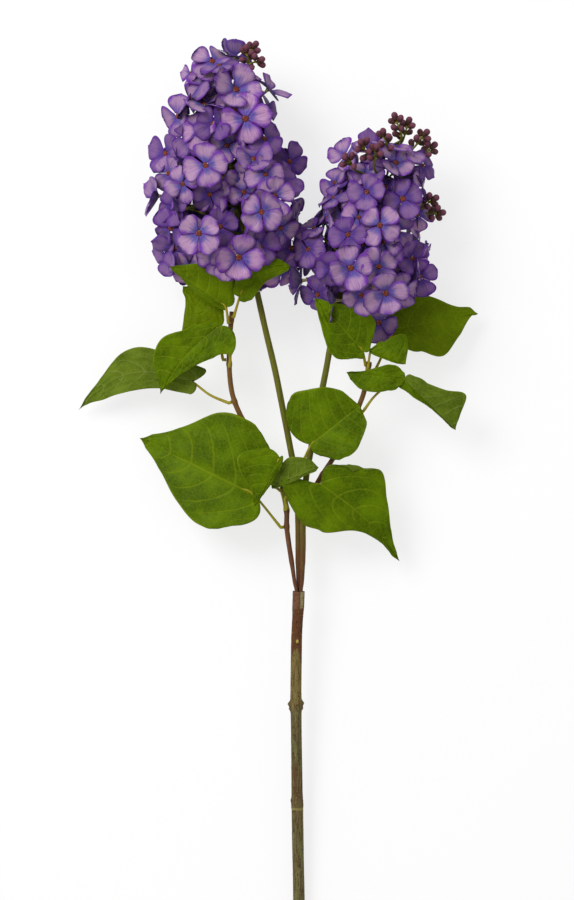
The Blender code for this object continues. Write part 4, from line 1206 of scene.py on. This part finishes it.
def leafPoint(leaf, u, v):
    # a point in the middle of the blade: u from base to tip, v from -1 at the right rim to 1
    base, tip = Vector(leaf["base"]), Vector(leaf["tip"])
    length = (tip - base).length
    along = (tip - base) / length
    up = (Vector((0, 0, 1)) - along * along.z).normalized()
    left = up.cross(along)
    side, hand, widths = (0, 1, leaf["left"]) if v >= 0 else (1, -1, leaf["right"])
    sooner = u + leafRule["fullBase"] * sin(pi * min(u / 0.25, 1.0))
    reach = max(between([*zip(leafRule["widthAt"], widths), (1.0, 0.0)], sooner), 0.0) * abs(v)
    fold = radians(leaf["fold"][side])
    if "dent" in leaf and hand > 0:
        at, wide, deep = leaf["dent"]
        reach *= 1 - deep * abs(v) ** 3 * exp(-((u - at) / wide) ** 2)
    lobe = leaf["lobes"][side] * (1 - u) ** 4
    lobe *= sin(pi * abs(v) ** leaf.get("lobePeak", 0.8))
    corner = min(leafRule["shoulder"] * widths[0], 0.2 * length)
    shoulder = corner * (1 - sqrt(1 - abs(v) ** 4)) * (1 - u) ** 4
    wave = leaf["wave"] * sin(9 * u + 1.5 * hand) * v * v * (1 - u ** 4)
    ripple = 0.25 * leaf["wave"] * sin(31 * u + 2 * hand) * abs(v) ** 5 * (1 - u ** 4)
    return (base + along * (length * u - lobe + shoulder) + left * (leaf.get("bow", 0) * sin(pi * u))
            + up * (leaf["arch"] * sin(pi * u) + wave + ripple)
            + left * (hand * reach * cos(fold)) + up * reach * sin(fold))


def veinDepth(u, v):
    # how deep the blade is pressed in along its midrib and side veins, from 0 to 1
    bend = leafVeins["rise"] * abs(v) ** leafVeins["bend"]
    place = (u - bend) / (1 - bend) * leafVeins["pairs"]
    off = abs(place - round(place))
    ribs = exp(-(off / 0.11) ** 2) * (1 - abs(v) ** 2) if place > -0.4 else 0.0
    return max(exp(-(v / 0.06) ** 2), 0.6 * ribs)


def bladeShape(leaf):
    # the pressed cloth blade: points, faces, finish of each face and spot of each point
    rows, columns = leafRule["rows"], leafRule["columns"]
    wide = columns + 1
    grid = [(1 - (1 - row / rows) ** 1.15, 2 * column / columns - 1) for row in range(rows + 1)
            for column in range(wide)]
    middle = [leafPoint(leaf, u, v) for u, v in grid]
    upper, lower = [], []
    turned = leaf.get("turned", (False, False))
    for number, (u, v) in enumerate(grid):
        row, column = divmod(number, wide)
        first = row * wide
        if row < rows:
            ahead = middle[min(row + 1, rows) * wide + column] - middle[max(row - 1, 0) * wide + column]
            beside = middle[first + min(column + 1, columns)] - middle[first + max(column - 1, 0)]
        else:
            # the tip's points lie in one place, so the row before gives the way across
            ahead = middle[number] - middle[(rows - 3) * wide + columns // 2]
            beside = middle[first - 1] - middle[first - wide]
        normal = ahead.cross(beside)
        normal = normal.normalized() if normal.length > 1e-9 else Vector((0, 0, 1))
        press = leafVeins["depth"] * veinDepth(u, v) * (-1 if turned[0 if v >= 0 else 1] else 1)
        puff = leafRule["puff"] * noise.noise(Vector((u * 7, v * 5, leaf["base"][0])))
        puff += 0.3 * leafRule["puff"] * noise.noise(Vector((u * 16, v * 12, leaf["base"][1])))
        centre = middle[number] + normal * (puff - press)
        upper.append(centre + normal * leafRule["thickness"] / 2)
        lower.append(centre - normal * leafRule["thickness"] / 2)
    kinds = []
    for corner, *_ in cells(rows, columns):
        back = turned[0 if corner % wide >= columns / 2 else 1]
        kinds += [1, 0] if back else [0, 1]
    faces = slab(rows, columns)
    kinds += [0] * (len(faces) - len(kinds))
    return upper + lower, faces, kinds, [(v, u, side) for side in (0.0, 1.0) for u, v in grid]


def petioleShape(leaf):
    # the coated wire from its seat on the stem to a little way up the midrib
    way, steps = leaf.get("way", ()), leafRule["stalkSteps"]
    seat, out = seatOn(leaf["stem"], leaf["at"], (*way, leaf["base"])[0])
    rib = [leafPoint(leaf, share, 0.0) - Vector((0, 0, sink)) for share, sink in leafRule["ribSink"]]
    path = [seat, *smoothPath([seat + out * 2.5, *way, *rib], steps)]
    radii = [between(leafRule["stalkGirth"], step / (steps + 1)) for step in range(steps + 2)]
    points, faces = tube(path, radii, 12)
    return points, faces, [2] * len(faces), [(0.0, 0.0, 0.0)] * len(points)


def makeLeaf(node, leaf):
    # one or two blades and their stalk in one mesh
    blades = [leaf, leaf["second"]] if "second" in leaf else [leaf]
    shapes = [*map(bladeShape, blades), petioleShape(leaf)]
    points, faces, kinds, spots = [], [], [], []
    for shapePoints, shapeFaces, shapeKinds, shapeSpots in shapes:
        shift = len(points)
        points += shapePoints
        faces += [tuple(corner + shift for corner in face) for face in shapeFaces]
        kinds += shapeKinds
        spots += shapeSpots
    # a pale share over the whole blade: painted light for leaves in the heads' shadow
    spots = {"spot": spots, "tone": [(leaf.get("tone", 0.0), 0.0, 0.0)] * len(points)}
    looks = ("leaf", "leafBack", "petiole")
    claimed(makePiece(camel(node), points, faces, looks, kinds, spots), "leaf", node)


for node, leaf in leaves.items():
    makeLeaf(node, leaf)
print("leaves made", len(leaves))

# Table, light and camera

stage = {"floor": "#FAFAFA", "floorSize": 40.0, "floorGlow": 0.72, "world": 0.6, "power": 44.0,
         "lampSize": 1.2, "lampPlace": (-1.2, 1.2, 1.9), "aim": (0.0066, 0.0425, 0.04), "distance": 2.4,
         "height": 0.675, "sensor": 36}


def makeStage(settings):
    size = settings["floorSize"] / 2
    mesh = meshOf("table", [(-size, -size, 0), (size, -size, 0), (size, size, 0), (-size, size, 0)], [],
                  [(0, 1, 2, 3)])
    material, tree, _ = startFinish("paleTable", 0.9, specular=0.1)
    # the photo's floor is blown out to white, so most of it glows and its shadows stay faint
    shader = tree.nodes["Principled BSDF"]
    shader.inputs["Base Color"].default_value = linear(settings["floor"])
    glow = made(tree, "ShaderNodeEmission", {"Color": (1, 1, 1, 1), "Strength": 1.0})
    share = made(tree, "ShaderNodeMixShader", {0: settings["floorGlow"], 1: shader.outputs[0], 2: glow})
    tree.links.new(share.socket, tree.nodes["Material Output"].inputs["Surface"])
    mesh.materials.append(material)
    linked("table", mesh)

    world = bpy.data.worlds.new("studio")
    world.use_nodes = True
    sky = world.node_tree.nodes["Background"].inputs
    sky["Color"].default_value = (1, 1, 1, 1)
    sky["Strength"].default_value = settings["world"]
    bpy.context.scene.world = world

    lamp = bpy.data.lights.new("softbox", "AREA")
    lamp.energy = settings["power"]
    lamp.size = settings["lampSize"]
    holder = linked("softbox", lamp)
    holder.location = settings["lampPlace"]
    holder.rotation_euler = (-Vector(settings["lampPlace"])).to_track_quat("-Z", "Y").to_euler()

    camera = bpy.data.cameras.new("photoView")
    camera.sensor_width = settings["sensor"]
    camera.lens = settings["sensor"] * settings["distance"] / settings["height"]
    camera.clip_end = settings["floorSize"] / 2
    eye = linked("photoView", camera)
    eye.location = Vector(settings["aim"]) + Vector((0, 0, settings["distance"]))
    bpy.context.scene.camera = eye
    bpy.context.scene.view_settings.view_transform = "Standard"


makeStage(stage)

for piece, slotName, nodes in pieces:
    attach(piece, "root")
    if nodes:
        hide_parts(*nodes)
